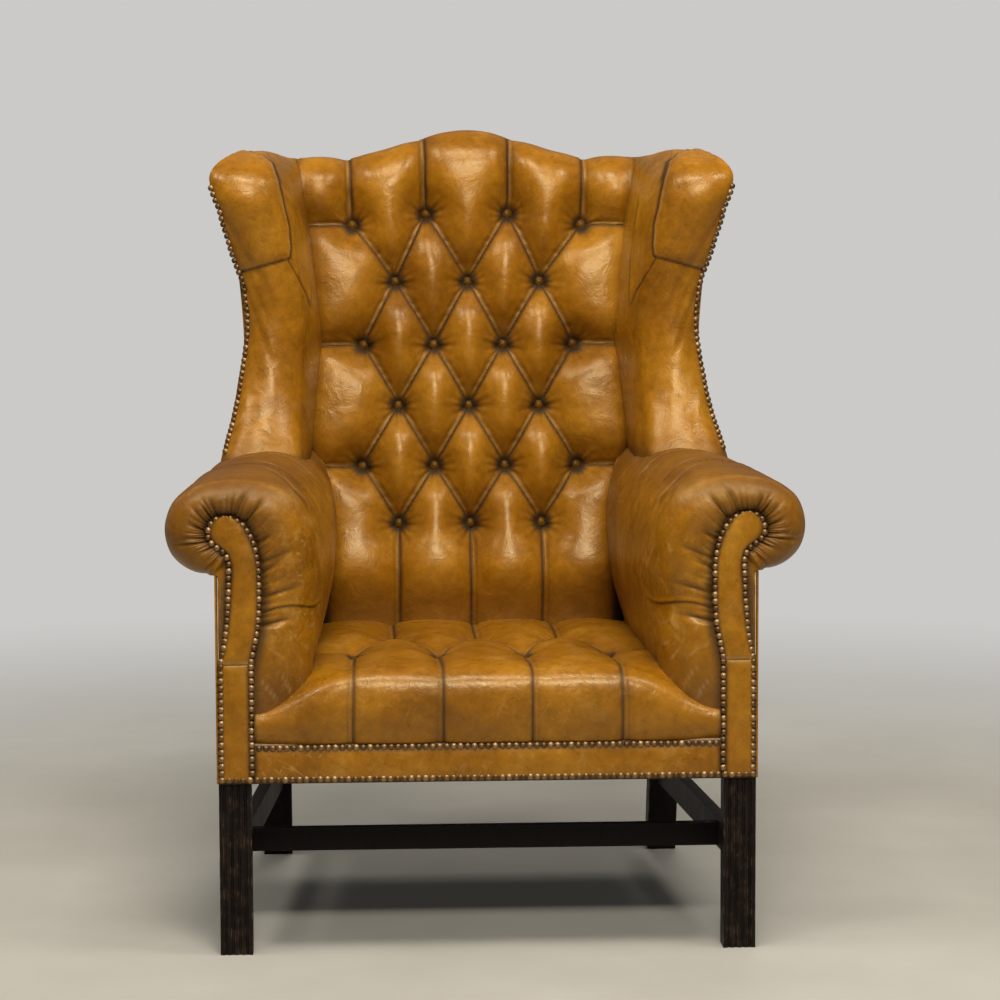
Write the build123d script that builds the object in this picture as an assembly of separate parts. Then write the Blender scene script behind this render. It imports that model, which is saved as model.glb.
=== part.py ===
"""A tufted leather wing chair: hardwood frame, webbing, coil springs, stuffed pads and leather panels.

Sizes are in millimetres. X runs to the right of someone who looks at the chair's front, Y runs back and
Z runs up. While the pieces are made, depth Y = 0 is the front face of the front legs. Pieces in pairs are
made on the +X side and mirrored.
"""
import math
import os

from build123d import *

# Legs, rails and stretchers
LEG = 44.0                   # side of each square leg
LEG_SHOWN = 237.0            # floor to the lower edge of the leather
FRONT_OUT = 366.0            # centre plane to the outer face of a front leg
REAR_OUT = 322.0             # centre plane to the outer face of a rear leg
SEAT_BACK = 588.0            # depth of the rear legs' front face at the seat
FOOT_SPLAY = 64.0            # how far the rear feet stand behind that face
REED_INSET = 8.0             # leg edge to the middle of the first groove
REED_RADIUS = 2.2            # radius of the grooves that leave the reeds
REED_COUNT = 4               # grooves on each moulded face
LEG_CHAMFER = 9.0            # flat on the hidden inner corner of a front leg
RAIL_GAP = 7.0               # lower edge of the leather to the underside of the seat rails
RAIL_TALL = 80.0
RAIL_THICK = 30.0
STRETCHER_MID = 134.0        # height of the middle of the stretchers
STRETCHER_TALL = 40.0
STRETCHER_THICK = 18.0
CROSS_DEPTH = 130.0          # depth of the cross stretcher
CROSS_TALL = 32.0
CROSS_THICK = 17.0
TENON = 22.0                 # length of the tenons in the legs
CROSS_TENON = 8.0            # length of the cross stretcher's tenons
TENON_SHARE = 3.0            # a tenon is the rail's thickness divided by this
TENON_SHOULDER = 8.0         # shoulder above and below a tenon
JOINT_GAP = 0.2              # clearance round a tenon or a dowel in its hole
BLOCK = 72.0                 # side of a corner block along the rails
BLOCK_SETBACK = 14.0         # corner block below the rails' top and above their underside
SCREW_RADIUS = 2.5
SCREW_LENGTH = 55.0
SCREW_HEAD = 4.5             # radius of a screw head
SCREW_HEAD_TALL = 3.0

# Back frame
BACK_RAKE = 11.0             # degrees
BACK_THICK = 36.0            # stiles and crest rail, square to the back
BACK_START = 330.0           # height where the rake begins
KNEE_RADIUS = 180.0          # easing of the rear legs' lower bend
KNEE_DROP = 32.0             # that bend below the leather
CREST_END = 767.0            # up the back, from BACK_START to the pad's top at the stiles
CREST_RISE = 41.0            # rise of the serpentine top above that
CREST_HALF = 190.0           # half the length of the serpentine
CREST_PAD = 14.0             # stuffing over the crest rail
CREST_ROLL = 36.0            # drop of the pad's rolled top edge to its front
CREST_RAIL_TALL = 62.0       # crest rail at the stiles
BACK_RAIL_LOW = 30.0         # lower edge of the back tacking rail, up the back
BACK_RAIL_TALL = 45.0

# Arms and wings
POST_THICK = 32.0            # arm post, front to back
POST_IN = 320.0              # inner edge of the arm post at the seat
NECK_IN = 309.0              # inner edge of the arm post under the scroll
PANEL_SEAM = 401.0           # height of the seam between post panel and arm panel
NECK_START = 484.0           # height where the neck is narrowest
NECK_WIDE = 41.0             # width of the arm panel at its neck
SCROLL_TOP = 604.0           # height of the nailed scroll
SCROLL_TOP_OUT = 350.0       # centre plane to the scroll's highest point
SCROLL_OUT = 379.0           # centre plane to the scroll's outermost point
SCROLL_DROP = 28.0           # that point below the scroll's top
ARM_RAIL_TOP = 546.0
ARM_RAIL_TALL = 40.0
TACK_RAIL_LOW = 16.0         # arm tacking rail above the seat rails
TACK_RAIL_TALL = 30.0
ARM_IN = 238.0               # inner face of the arm pad at the seat
ARM_SWELL = 26.0             # how far the inner arm swells towards the sitter
ARM_TOP = 650.0
ROLL_OUT = 66.0              # arm roll beyond the side frame
ROLL_MID = 584.0             # height of the roll's outermost line
ROLL_LOW = 521.0             # height of the roll's underside
ROLL_EASE = 48.0             # rounding of the roll into the front panel
WING_FRAME_THICK = 28.0
WING_POST_WIDE = 34.0
WING_POST_DEPTH = 470.0      # depth of the wing post's front edge at its ends
WING_POST_OVER = 3.0         # wing post's top above the wing's widest point
WING_HOLLOW = 36.0           # hollow of the wing post's edges
WING_RAIL_TALL = 34.0
WING_ROLL = 34.0             # swell of the wing's front edge
WING_FOOT = 636.0            # height where the wing leaves the arm
WAIST_RISE = 187.0           # from there up to where the wing is narrowest
EAR_RISE = 226.0             # from there up to its widest point
EAR_TALL = 42.0              # rounded top above that point
WING_SUNK = 44.0             # start of the wing pad below WING_FOOT, inside the arm roll
WING_WAIST_OUT = 337.0       # centre plane to the wing's outer edge at the waist
WING_WAIST_IN = 245.0        # centre plane to the inside of its front roll there
WING_WAIST_DEPTH = 490.0     # depth of that edge
WING_REAR_IN = 223.0         # centre plane to the wing's inner face at the back, at the waist
WING_EAR_FLARES = (46.0, 39.0, 40.0, 27.0)    # growth at the ear: outward, inner edge, forward, rear
WING_FOOT_FLARES = (36.0, 8.0, 92.0, 21.0)    # the same at the foot
WING_CROWN = 46.0            # how far the wing's rounded top draws in
WING_CAVITY_RISE = 32.0      # hollow of the wing frame starts that far above WING_FOOT

# Upholstery
LEATHER = 2.5
WEB_WIDE = 50.0
WEB_THICK = 2.0
WEB_COUNT = 5                # straps each way in the seat
WEB_PITCH = 90.0
WEB_FRONT = 130.0            # depth of the first cross strap
WEB_EDGE = 6.0               # strap ends inside the frame's outer edge
BACK_WEB_COUNT = 5           # straps across the back
BACK_WEB_PITCH = 130.0
HESSIAN = 1.5
SPRING_LIFT = 18.0           # hessian over the springs above the seat rails
SPRING_ROWS = 3
SPRING_TURNS = 5
SPRING_END = 40.0            # radius of a spring at its ends
SPRING_WAIST = 27.0
SPRING_WIRE = 2.0            # radius of the spring wire
SEAT_IN = 240.0              # half width of the seat between the arms
SEAT_LIP_OUT = 317.0         # half width of the seat's front lip
SEAT_LIP_DEEP = 46.0         # depth of the lip's ends in front of the arms
SEAT_LIP_LOW = 289.0         # lower edge of the lip, at the upper nails
SEAT_NOSE = 14.0             # how far the lip swells past the legs
SEAT_TUFT = 376.0            # height of the seat's tufts
SEAT_PUFF = 20.0             # height of the seat's crown above its tufts
SEAT_ROW_1 = 215.0           # depth of the front row of tufts
SEAT_ROW_2 = 370.0
SEAT_REAR = 548.0            # depth where the seat pad ends under the back pad
SEAT_COLUMN = 60.0           # half the spacing of the seat tufts
TUFT_COLUMN = 55.0           # half the spacing of the back tufts
TUFT_ROW = 93.5              # spacing of the rows of back tufts
TUFT_FIRST = 193.0           # lowest row, up the back from BACK_START
TUFT_DEEP = 31.0             # stuffing left under a back button
TUFT_PUFF = 42.0             # crown of a diamond above its buttons
TUFT_CREASE = 12.0           # how much shallower a pleat is halfway between buttons
PLEAT = 6.0                  # half the width of a closed pleat
BACK_IN = 262.0              # half width of the inside back pad
BUTTON = 7.5                 # radius of a covered button
BUTTON_TALL = 5.0
BUTTON_ROUND = 2.2
BUTTON_GAP = 0.6             # clearance round a button in its dimple

RAIL_BOTTOM = LEG_SHOWN + RAIL_GAP
RAIL_TOP = RAIL_BOTTOM + RAIL_TALL
RAIL_MID = RAIL_BOTTOM + RAIL_TALL / 2
RAKE = math.tan(math.radians(BACK_RAKE))
RAKE_COS = math.cos(math.radians(BACK_RAKE))
BACK_RUN = BACK_THICK / RAKE_COS
SIDE_SLOPE = (FRONT_OUT - REAR_OUT) / (SEAT_BACK - LEG)
SPRING_TOP = RAIL_TOP + SPRING_LIFT
SCROLL_MID = SCROLL_TOP - SCROLL_DROP
WING_WAIST = WING_FOOT + WAIST_RISE
WING_EAR = WING_WAIST + EAR_RISE
WING_TOP = WING_EAR + EAR_TALL
WING_POST_TOP = WING_EAR + WING_POST_OVER
WING_START = WING_FOOT - WING_SUNK
WING_CAVITY = WING_FOOT + WING_CAVITY_RISE
ARM_RAIL_MID = ARM_RAIL_TOP - ARM_RAIL_TALL / 2
WING_IN = REAR_OUT - WING_FRAME_THICK
BACK_LAYER = REAR_OUT - RAIL_THICK - 2 * HESSIAN
CREST_TURN = (CREST_HALF ** 2 / 4 + CREST_RISE ** 2 / 4) / CREST_RISE
STILE_TOP = CREST_END - CREST_PAD

BACK_PLANE = Plane(
    origin=(0, SEAT_BACK, BACK_START),
    x_dir=(1, 0, 0),
    z_dir=(0, -RAKE_COS, math.sin(math.radians(BACK_RAKE))),
)


# Shared helpers

def frame_out(y):
    """Centre plane to the outer face of the side frame at depth y."""
    return FRONT_OUT - SIDE_SLOPE * (min(max(y, LEG), SEAT_BACK) - LEG)


def frame_in(y):
    """Centre plane to the inner face of the side frame at depth y."""
    return frame_out(y) - RAIL_THICK


def back_face(z):
    """Depth of the back frame's front face at height z."""
    return SEAT_BACK + max(z - BACK_START, 0) * RAKE


def crest(x):
    """Distance up the back to the serpentine top of the pad at x."""
    x = abs(x)
    if x < CREST_HALF / 2:
        return CREST_END + CREST_RISE - CREST_TURN + math.sqrt(CREST_TURN ** 2 - x ** 2)
    if x < CREST_HALF:
        return CREST_END + CREST_TURN - math.sqrt(CREST_TURN ** 2 - (CREST_HALF - x) ** 2)
    return CREST_END


def arc(start, end, rise):
    """An arc that stands off its chord by rise, to the left of the way from start to end."""
    run_x, run_y = end[0] - start[0], end[1] - start[1]
    length = math.hypot(run_x, run_y)
    middle = (
        (start[0] + end[0]) / 2 - run_y / length * rise,
        (start[1] + end[1]) / 2 + run_x / length * rise,
    )
    return ThreePointArc(start, middle, end)


def outline(points, rises):
    """A closed face through points; an edge with a rise is an arc, an edge with None is a line."""
    edges = []
    for index, rise in enumerate(rises):
        start, end = points[index], points[(index + 1) % len(points)]
        edges.append(Line(start, end) if rise is None else arc(start, end, rise))
    return make_face(edges)


def across(face, x_start, x_end):
    """A side view, in (depth, height), drawn out from x_start to x_end."""
    return extrude(Plane.YZ.offset(x_start) * face, amount=x_end - x_start)


def through(face, y_start, y_end):
    """A front view, in (x, height), drawn out from depth y_start to y_end."""
    return extrude(Plane.XZ.offset(-y_end) * face, amount=y_end - y_start)


def upward(face, z_start, z_end):
    """A plan, in (x, depth), drawn out from z_start to z_end."""
    return extrude(Plane.XY.offset(z_start) * face, amount=z_end - z_start)


def off_back(face, w_start, w_end):
    """A face in (x, up the back), drawn out square to the back from w_start to w_end."""
    return extrude(BACK_PLANE.offset(w_start) * face, amount=w_end - w_start)


def bar(start, end, thick, tall):
    """A straight bar along the line between two points, upright in section."""
    run = Vector(*end) - Vector(*start)
    section = Plane(origin=start, x_dir=run.cross(Vector(0, 0, 1)), z_dir=run)
    return extrude(section * Rectangle(thick, tall), amount=run.length)


def mirrored(shape):
    return mirror(shape, about=Plane.YZ)


def joined(body, tenon, posts):
    """A rail cut off at the faces of its posts, with the tenon that runs on into them."""
    for post in posts:
        body = body - post
    return body + tenon


def side_strip(y_start, y_end, deep, shallow=0.0):
    """A plan along the side frame between two distances inside its outer face."""
    depths = [y_start] + [y for y in (LEG, SEAT_BACK) if y_start < y < y_end] + [y_end]
    near = [(frame_out(y) - shallow, y) for y in depths]
    far = [(frame_out(y) - deep, y) for y in reversed(depths)]
    return make_face(Polyline(*near, *far, close=True))


def side_joint(z, tall, y_start, y_end):
    """The tenon of a rail of the side frame, and the hole that takes it."""
    def tongue(grow):
        shallow = RAIL_THICK * (1 - 1 / TENON_SHARE) / 2 - grow
        half = tall / 2 - TENON_SHOULDER + grow
        plan = side_strip(y_start - grow, y_end + grow, RAIL_THICK - shallow, shallow)
        return upward(plan, z - half, z + half)
    return tongue(0), tongue(JOINT_GAP)


# Frame pieces of the +X side, before their mortises are cut

def plain_front_leg():
    """A square leg with reeds on its two outer faces and a flat on its hidden corner."""
    section = Rectangle(LEG, LEG)
    section -= Pos(-LEG / 2, LEG / 2) * Rot(0, 0, 45) * Rectangle(LEG_CHAMFER, LEG_CHAMFER)
    for index in range(REED_COUNT):
        place = -LEG / 2 + REED_INSET + index * (LEG - 2 * REED_INSET) / (REED_COUNT - 1)
        section -= Pos(place, -LEG / 2) * Circle(REED_RADIUS)
        section -= Pos(LEG / 2, place) * Circle(REED_RADIUS)
    centre = Pos(FRONT_OUT - LEG / 2, LEG / 2)
    return upward(centre * section, 0, LEG_SHOWN) + upward(centre * Rectangle(LEG, LEG), LEG_SHOWN, RAIL_TOP)


def plain_rear_leg():
    """A raked foot, an upright part at the seat and the raked stile above it, sawn from one board."""
    top = BACK_START + STILE_TOP * RAKE_COS
    knee_back = BACK_START + (LEG - BACK_RUN) / RAKE
    knee_low = LEG_SHOWN - KNEE_DROP
    side = make_face(Polyline(
        (SEAT_BACK + FOOT_SPLAY, 0), (SEAT_BACK, knee_low), (SEAT_BACK, BACK_START),
        (back_face(top), top), (back_face(top) + BACK_RUN * RAKE_COS ** 2, top - BACK_RUN * RAKE * RAKE_COS ** 2),
        (SEAT_BACK + LEG, knee_back), (SEAT_BACK + LEG, knee_low), (SEAT_BACK + LEG + FOOT_SPLAY, 0),
        close=True,
    ))
    side = fillet([corner for corner in side.vertices() if abs(corner.Y - knee_low) < 0.1], KNEE_RADIUS)
    return across(side, REAR_OUT - LEG, REAR_OUT)


def arm_post_outline():
    """The arm post with its scroll head, in (x, height)."""
    points = [
        (POST_IN, RAIL_TOP), (POST_IN, PANEL_SEAM), (NECK_IN, NECK_START), (NECK_IN + 1, NECK_START + 62),
        (SCROLL_TOP_OUT, SCROLL_TOP), (SCROLL_OUT, SCROLL_MID), (FRONT_OUT - 1, SCROLL_MID - 18),
        (FRONT_OUT - 1, RAIL_TOP),
    ]
    return outline(points, [None, None, None, 10, 8, 4, None, None])


def arm_panel_outline():
    """The nailed leather panel on the arm's front, in (x, height)."""
    points = [
        (POST_IN, PANEL_SEAM), (NECK_IN, NECK_START), (NECK_IN + 1, NECK_START + 62),
        (SCROLL_TOP_OUT, SCROLL_TOP), (SCROLL_OUT, SCROLL_MID), (SCROLL_OUT - 25, SCROLL_MID - 20),
        (NECK_IN + NECK_WIDE - 4, SCROLL_MID - 36), (NECK_IN + NECK_WIDE, NECK_START),
        (FRONT_OUT - 1, PANEL_SEAM),
    ]
    return outline(points, [3, None, 10, 8, 5, -2, None, 3, None])


def plain_wing_post():
    """The wing's front upright, sawn to the hollow of the wing's edge and standing on the arm rail."""
    low, high = (WING_POST_DEPTH, ARM_RAIL_TOP), (WING_POST_DEPTH, WING_POST_TOP)
    points = [low, high, (high[0] + WING_POST_WIDE, high[1]), (low[0] + WING_POST_WIDE, low[1])]
    side = outline(points, [-WING_HOLLOW, None, WING_HOLLOW, None])
    return across(side, WING_IN, REAR_OUT)


def crest_face(low, drop, half):
    """A face in (x, up the back) under the serpentine, drop below it, down to low."""
    turns = [-half, -CREST_HALF, -CREST_HALF / 2, CREST_HALF / 2, CREST_HALF, half]
    tops = [(x, crest(x) - drop) for x in turns]
    edges = [Line((-half, low), tops[0]), Line(tops[0], tops[1])]
    for start, end in zip(tops[1:4], tops[2:5]):
        middle = (start[0] + end[0]) / 2
        edges.append(ThreePointArc(start, (middle, crest(middle) - drop), end))
    edges += [Line(tops[4], tops[5]), Line(tops[5], (half, low)), Line((half, low), (-half, low))]
    return make_face(edges)


# Hardwood frame

def build_frame():
    """Every wooden piece with its joints cut, as a dictionary of +X, middle and paired pieces."""
    leg, stile = plain_front_leg(), plain_rear_leg()
    leg_mid = FRONT_OUT - LEG / 2
    rear_mid = REAR_OUT - LEG / 2
    rear_face = SEAT_BACK + LEG
    holes = {"leg": [], "stile": [], "post": [], "stretcher": [], "arm_rail": [], "wing_post": []}

    def keep(name, hole):
        holes[name].append(hole)

    # Side seat rail, arm tacking rail and arm rail run from the front leg or post to the rear leg
    def side_rail(z, tall, front_name, front_face, front_tenon):
        z_back = back_face(z)
        plan = side_strip(front_face, z_back + LEG / 2, RAIL_THICK)
        tongue, hole = side_joint(z, tall, front_face - front_tenon, z_back + TENON)
        keep(front_name, hole)
        keep("stile", hole)
        return joined(upward(plan, z - tall / 2, z + tall / 2), tongue, [stile])

    post = through(arm_post_outline(), 0, POST_THICK)
    dowel = Pos(FRONT_OUT - LEG / 4, POST_THICK / 2, RAIL_TOP)
    post_peg = dowel * Box(LEG / 4, POST_THICK / 3, 2 * TENON)
    keep("leg", dowel * Box(LEG / 4 + 2 * JOINT_GAP, POST_THICK / 3 + 2 * JOINT_GAP, 2 * TENON + 2 * JOINT_GAP))
    side_seat_rail = side_rail(RAIL_MID, RAIL_TALL, "leg", LEG, TENON)
    tack_rail = side_rail(RAIL_TOP + TACK_RAIL_LOW + TACK_RAIL_TALL / 2, TACK_RAIL_TALL,
                          "post", POST_THICK, POST_THICK / 2)
    arm_rail = side_rail(ARM_RAIL_MID, ARM_RAIL_TALL, "post", POST_THICK, POST_THICK / 2)

    # Front and rear seat rails cross from side to side
    def cross_rail(x_mid, y, z, thick, tall, shoulder, posts, name, tenon=TENON):
        body = bar((-x_mid, y, z), (x_mid, y, z), thick, tall)
        reach = shoulder + tenon
        slim, low = thick / TENON_SHARE, tall - 2 * TENON_SHOULDER
        tongue = bar((-reach, y, z), (reach, y, z), slim, low)
        keep(name, bar((-reach - JOINT_GAP, y, z), (reach + JOINT_GAP, y, z),
                       slim + 2 * JOINT_GAP, low + 2 * JOINT_GAP))
        return joined(body, tongue, posts)

    front_rail = cross_rail(leg_mid, RAIL_THICK / 2, RAIL_MID, RAIL_THICK, RAIL_TALL,
                            FRONT_OUT - LEG, [leg, mirrored(leg)], "leg")
    rear_rail = cross_rail(rear_mid, rear_face - RAIL_THICK / 2, RAIL_MID, RAIL_THICK, RAIL_TALL,
                           REAR_OUT - LEG, [stile, mirrored(stile)], "stile", TENON / 2)

    # H-stretcher
    knee_low = LEG_SHOWN - KNEE_DROP
    rear_at = SEAT_BACK + FOOT_SPLAY * (1 - STRETCHER_MID / knee_low)
    lean = (leg_mid - rear_mid) / (rear_at - LEG)

    def stretcher_bar(y_start, y_end, thick, tall):
        return bar((leg_mid - lean * (y_start - LEG), y_start, STRETCHER_MID),
                   (leg_mid - lean * (y_end - LEG), y_end, STRETCHER_MID), thick, tall)
    slim, low = STRETCHER_THICK / 2, STRETCHER_TALL - 2 * TENON_SHOULDER
    stretcher_hole = stretcher_bar(LEG - TENON - JOINT_GAP, rear_at + TENON + JOINT_GAP,
                                   slim + 2 * JOINT_GAP, low + 2 * JOINT_GAP)
    keep("leg", stretcher_hole)
    keep("stile", stretcher_hole)
    stretcher = joined(stretcher_bar(LEG / 2, rear_at + LEG / 2, STRETCHER_THICK, STRETCHER_TALL),
                       stretcher_bar(LEG - TENON, rear_at + TENON, slim, low), [leg, stile])
    cross_mid = leg_mid - lean * (CROSS_DEPTH - LEG)
    cross = cross_rail(cross_mid, CROSS_DEPTH, STRETCHER_MID, CROSS_THICK, CROSS_TALL,
                       cross_mid - STRETCHER_THICK / 2, [stretcher, mirrored(stretcher)], "stretcher",
                       CROSS_TENON)

    # Wing post and wing rail
    wing_post = plain_wing_post()
    wing_mid = REAR_OUT - WING_FRAME_THICK / 2
    foot = Pos(wing_mid, WING_POST_DEPTH + WING_POST_WIDE / 2, ARM_RAIL_TOP)
    foot_peg = foot * Box(WING_FRAME_THICK / 2, WING_POST_WIDE / 2, TENON)
    keep("arm_rail", foot * Box(WING_FRAME_THICK / 2 + 2 * JOINT_GAP, WING_POST_WIDE / 2 + 2 * JOINT_GAP,
                                TENON + 2 * JOINT_GAP))
    rail_z = WING_POST_TOP - WING_RAIL_TALL / 2
    rail_start, rail_end = WING_POST_DEPTH + WING_POST_WIDE, back_face(rail_z)

    def wing_bar(y_start, y_end, thick, tall):
        return bar((wing_mid, y_start, rail_z), (wing_mid, y_end, rail_z), thick, tall)
    slim, low = WING_FRAME_THICK / TENON_SHARE, WING_RAIL_TALL - 2 * TENON_SHOULDER
    wing_rail = joined(wing_bar(rail_start - WING_POST_WIDE / 2, rail_end + BACK_RUN / 2,
                                WING_FRAME_THICK, WING_RAIL_TALL),
                       wing_bar(rail_start - TENON, rail_end + TENON, slim, low), [wing_post, stile])
    wing_hole = wing_bar(rail_start - TENON - JOINT_GAP, rail_end + TENON + JOINT_GAP,
                         slim + 2 * JOINT_GAP, low + 2 * JOINT_GAP)
    keep("wing_post", wing_hole)
    keep("stile", wing_hole)

    # Crest rail and back tacking rail between the stiles
    between = REAR_OUT - LEG
    crest_rail = off_back(crest_face(STILE_TOP - CREST_RAIL_TALL, CREST_PAD, between), -BACK_THICK, 0)
    back_rail = off_back(Pos(0, BACK_RAIL_LOW + BACK_RAIL_TALL / 2)
                         * Rectangle(2 * between, BACK_RAIL_TALL), -BACK_THICK + LEATHER, 0)

    def back_tongue(v_mid, tall, grow):
        face = Pos(0, v_mid) * Rectangle(2 * (between + TENON / 2 + grow), tall - 2 * TENON_SHOULDER + 2 * grow)
        half = BACK_THICK / TENON_SHARE / 2 + grow
        return off_back(face, -BACK_THICK / 2 - half, -BACK_THICK / 2 + half)
    crest_mid, crest_tall = STILE_TOP - CREST_RAIL_TALL / 2, CREST_RAIL_TALL
    back_mid = BACK_RAIL_LOW + BACK_RAIL_TALL / 2
    crest_rail += back_tongue(crest_mid, crest_tall, 0)
    back_rail += back_tongue(back_mid, BACK_RAIL_TALL, 0)
    keep("stile", back_tongue(crest_mid, crest_tall, JOINT_GAP))
    keep("stile", back_tongue(back_mid, BACK_RAIL_TALL, JOINT_GAP))

    # Corner blocks, each held by a screw driven into its leg
    def block(y_face, way, corner_leg, leg_centre):
        corner = (frame_in(y_face), y_face)
        plan = make_face(Polyline(corner, (corner[0] - BLOCK, y_face),
                                  (frame_in(y_face + way * BLOCK), y_face + way * BLOCK), close=True))
        body = upward(plan, RAIL_BOTTOM + BLOCK_SETBACK, RAIL_TOP - BLOCK_SETBACK)
        body = body - corner_leg - side_seat_rail
        middle = Vector(corner[0] - BLOCK / 2, y_face + way * BLOCK / 2, RAIL_MID)
        axis = Vector(leg_centre[0], leg_centre[1], RAIL_MID) - middle
        drive = Plane(origin=middle, z_dir=axis)
        shank = extrude(drive * Circle(SCREW_RADIUS), amount=SCREW_LENGTH)
        head = extrude(drive * Circle(SCREW_HEAD), amount=-SCREW_HEAD_TALL)
        sink = extrude(drive * Circle(SCREW_HEAD), amount=-BLOCK)
        return body - shank - sink, shank + head, shank
    front_block, front_screw, front_bore = block(
        RAIL_THICK, 1, leg, (leg_mid, LEG / 2))
    rear_block, rear_screw, rear_bore = block(
        rear_face - RAIL_THICK, -1, stile, (rear_mid, SEAT_BACK + LEG / 2))
    keep("leg", front_bore)
    keep("stile", rear_bore)

    # Cut the mortises
    def cut(body, name):
        for hole in holes[name]:
            body = body - hole
        return body
    half = {
        "front_leg": cut(leg, "leg"),
        "rear_leg": cut(stile, "stile"),
        "side_stretcher": cut(stretcher, "stretcher"),
        "side_seat_rail": side_seat_rail,
        "arm_post": cut(post + post_peg, "post"),
        "arm_tacking_rail": tack_rail,
        "arm_rail": cut(arm_rail, "arm_rail"),
        "wing_post": cut(wing_post + foot_peg, "wing_post"),
        "wing_rail": wing_rail,
    }
    middle = {
        "cross_stretcher": cross,
        "front_seat_rail": front_rail,
        "rear_seat_rail": rear_rail,
        "crest_rail": crest_rail,
        "back_tacking_rail": back_rail,
    }
    groups = {
        "corner_blocks": [front_block, rear_block, mirrored(front_block), mirrored(rear_block)],
        "corner_block_screws": [front_screw, rear_screw, mirrored(front_screw), mirrored(rear_screw)],
    }
    plain = [arm_rail, wing_post + foot_peg, wing_rail + wing_hole]
    return half, middle, groups, plain



# Upholstery helpers

def rear_trim():
    """Everything in front of the rear face of the back frame."""
    foot = BACK_START + (LEG - BACK_RUN) / RAKE
    high = 2 * BACK_START + STILE_TOP
    side = make_face(Polyline(
        (-LEG, 0), (SEAT_BACK + LEG, 0), (SEAT_BACK + LEG, foot),
        (back_face(high) + BACK_RUN, high), (-LEG, high), close=True))
    return across(side, -2 * FRONT_OUT, 2 * FRONT_OUT)


def spring_dome(drop):
    """The space under the seat stuffing: flat on the springs, sloping down to the seat rails."""
    rear = SEAT_BACK + LEG - RAIL_THICK / 2

    def plan(inset, z):
        near, far = RAIL_THICK / 2 + inset, rear - inset
        half_near, half_far = frame_out(near) - RAIL_THICK / 2 - inset, frame_out(far) - RAIL_THICK / 2 - inset
        face = make_face(Polyline((-half_near, near), (half_near, near), (half_far, far),
                                  (-half_far, far), close=True))
        return Plane.XY.offset(z) * face
    return loft([plan(0, RAIL_TOP - drop), plan(2 * RAIL_THICK, SPRING_TOP - drop)], ruled=True)


def back_layers():
    """The plate that the back webbing and hessian fill on the front of the back frame."""
    return off_back(crest_face(BACK_RAIL_LOW, CREST_PAD + WEB_EDGE, BACK_LAYER),
                    0, 2 * WEB_THICK + HESSIAN)


def between_stiles():
    """The open space of the back frame."""
    return off_back(Pos(0, CREST_END / 2) * Rectangle(2 * (REAR_OUT - LEG), 2 * CREST_END), -2 * LEG, 0)


def zigzag(x, column):
    """0 on the odd tuft columns and 1 on the even ones, held at 0 outside the outermost odd pair."""
    reach = abs(x) / column
    return abs(reach % 2 - 1) if reach < 3 else 0.0


def fade(x, start, end):
    """0 up to start, growing to 1 at end."""
    return min(max((abs(x) - start) / (end - start), 0), 1) ** 2


# Seat

def seat_section(x):
    """A side view of the seat pad at x: swelling nose, pleats, tufts and a tucked rear end."""
    turn = zigzag(x, SEAT_COLUMN)
    drop = 12 * fade(x, SEAT_IN - 60, SEAT_IN)
    tuft = SEAT_ROW_1 + turn * (SEAT_ROW_2 - SEAT_ROW_1)
    low = SEAT_TUFT - drop + 5 * math.sin(math.pi * turn)
    pleat = 5 * (1 - turn)
    points = [
        (-SEAT_NOSE + 5, SEAT_LIP_LOW), (SEAT_REAR, SEAT_LIP_LOW), (SEAT_REAR, SEAT_TUFT - 8 - drop),
        (tuft, low), (30, SEAT_TUFT + 6 - drop - pleat), (-SEAT_NOSE + pleat / 2, SEAT_LIP_LOW + 48),
    ]
    rear = SEAT_PUFF * ((SEAT_REAR - tuft) / (SEAT_REAR - SEAT_ROW_1)) ** 0.6
    front = (SEAT_PUFF - 4) * (tuft / SEAT_ROW_2) ** 0.6
    face = outline(points, [None, None, -rear, -front, -11, -4])
    return Plane.YZ.offset(x) * face


def lip_section(x):
    """A side view of the lip's end, which falls away to the arm post in front of the arm."""
    fall = (x - SEAT_IN) / (SEAT_LIP_OUT - SEAT_IN)
    points = [
        (-SEAT_NOSE + 5, SEAT_LIP_LOW), (SEAT_LIP_DEEP, SEAT_LIP_LOW),
        (SEAT_LIP_DEEP, SEAT_TUFT - 4 - 42 * fall ** 1.3),
        (-SEAT_NOSE + 2, SEAT_LIP_LOW + 46 - 22 * fall),
    ]
    return Plane.YZ.offset(x) * outline(points, [None, None, -12, -4])


def seat_pad():
    steps = int(round(SEAT_IN / SEAT_COLUMN * 3))
    sections = [seat_section(SEAT_IN * step / steps) for step in range(-steps, steps + 1)]
    pad = loft(sections, ruled=True)
    lips = [SEAT_IN + (SEAT_LIP_OUT - SEAT_IN) * step / 4 for step in range(5)]
    lip = loft([lip_section(x) for x in lips], ruled=True)
    pad = pad + lip + mirrored(lip)
    rails = Pos(0, SEAT_BACK, RAIL_TOP / 2) * Box(4 * FRONT_OUT, 2 * SEAT_BACK, RAIL_TOP)
    pad = pad - rails - spring_dome(0)
    for x, y in seat_tufts():
        pad = pad - Pos(x, y, SEAT_TUFT + SEAT_PUFF) * Cylinder(BUTTON + BUTTON_GAP, 2 * SEAT_PUFF)
    return pad


def seat_tufts():
    front = [(column * SEAT_COLUMN, SEAT_ROW_1) for column in (-3, -1, 1, 3)]
    rear = [(column * SEAT_COLUMN, SEAT_ROW_2) for column in (-2, 0, 2)]
    return front + rear


# Inside back

def back_tufts():
    """Button places in (x, up the back): rows of three and four by turns."""
    rows = []
    for row in range(6):
        columns = (-2, 0, 2) if row % 2 == 0 else (-3, -1, 1, 3)
        rows += [(column * TUFT_COLUMN, TUFT_FIRST + row * TUFT_ROW) for column in columns]
    return rows


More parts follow.
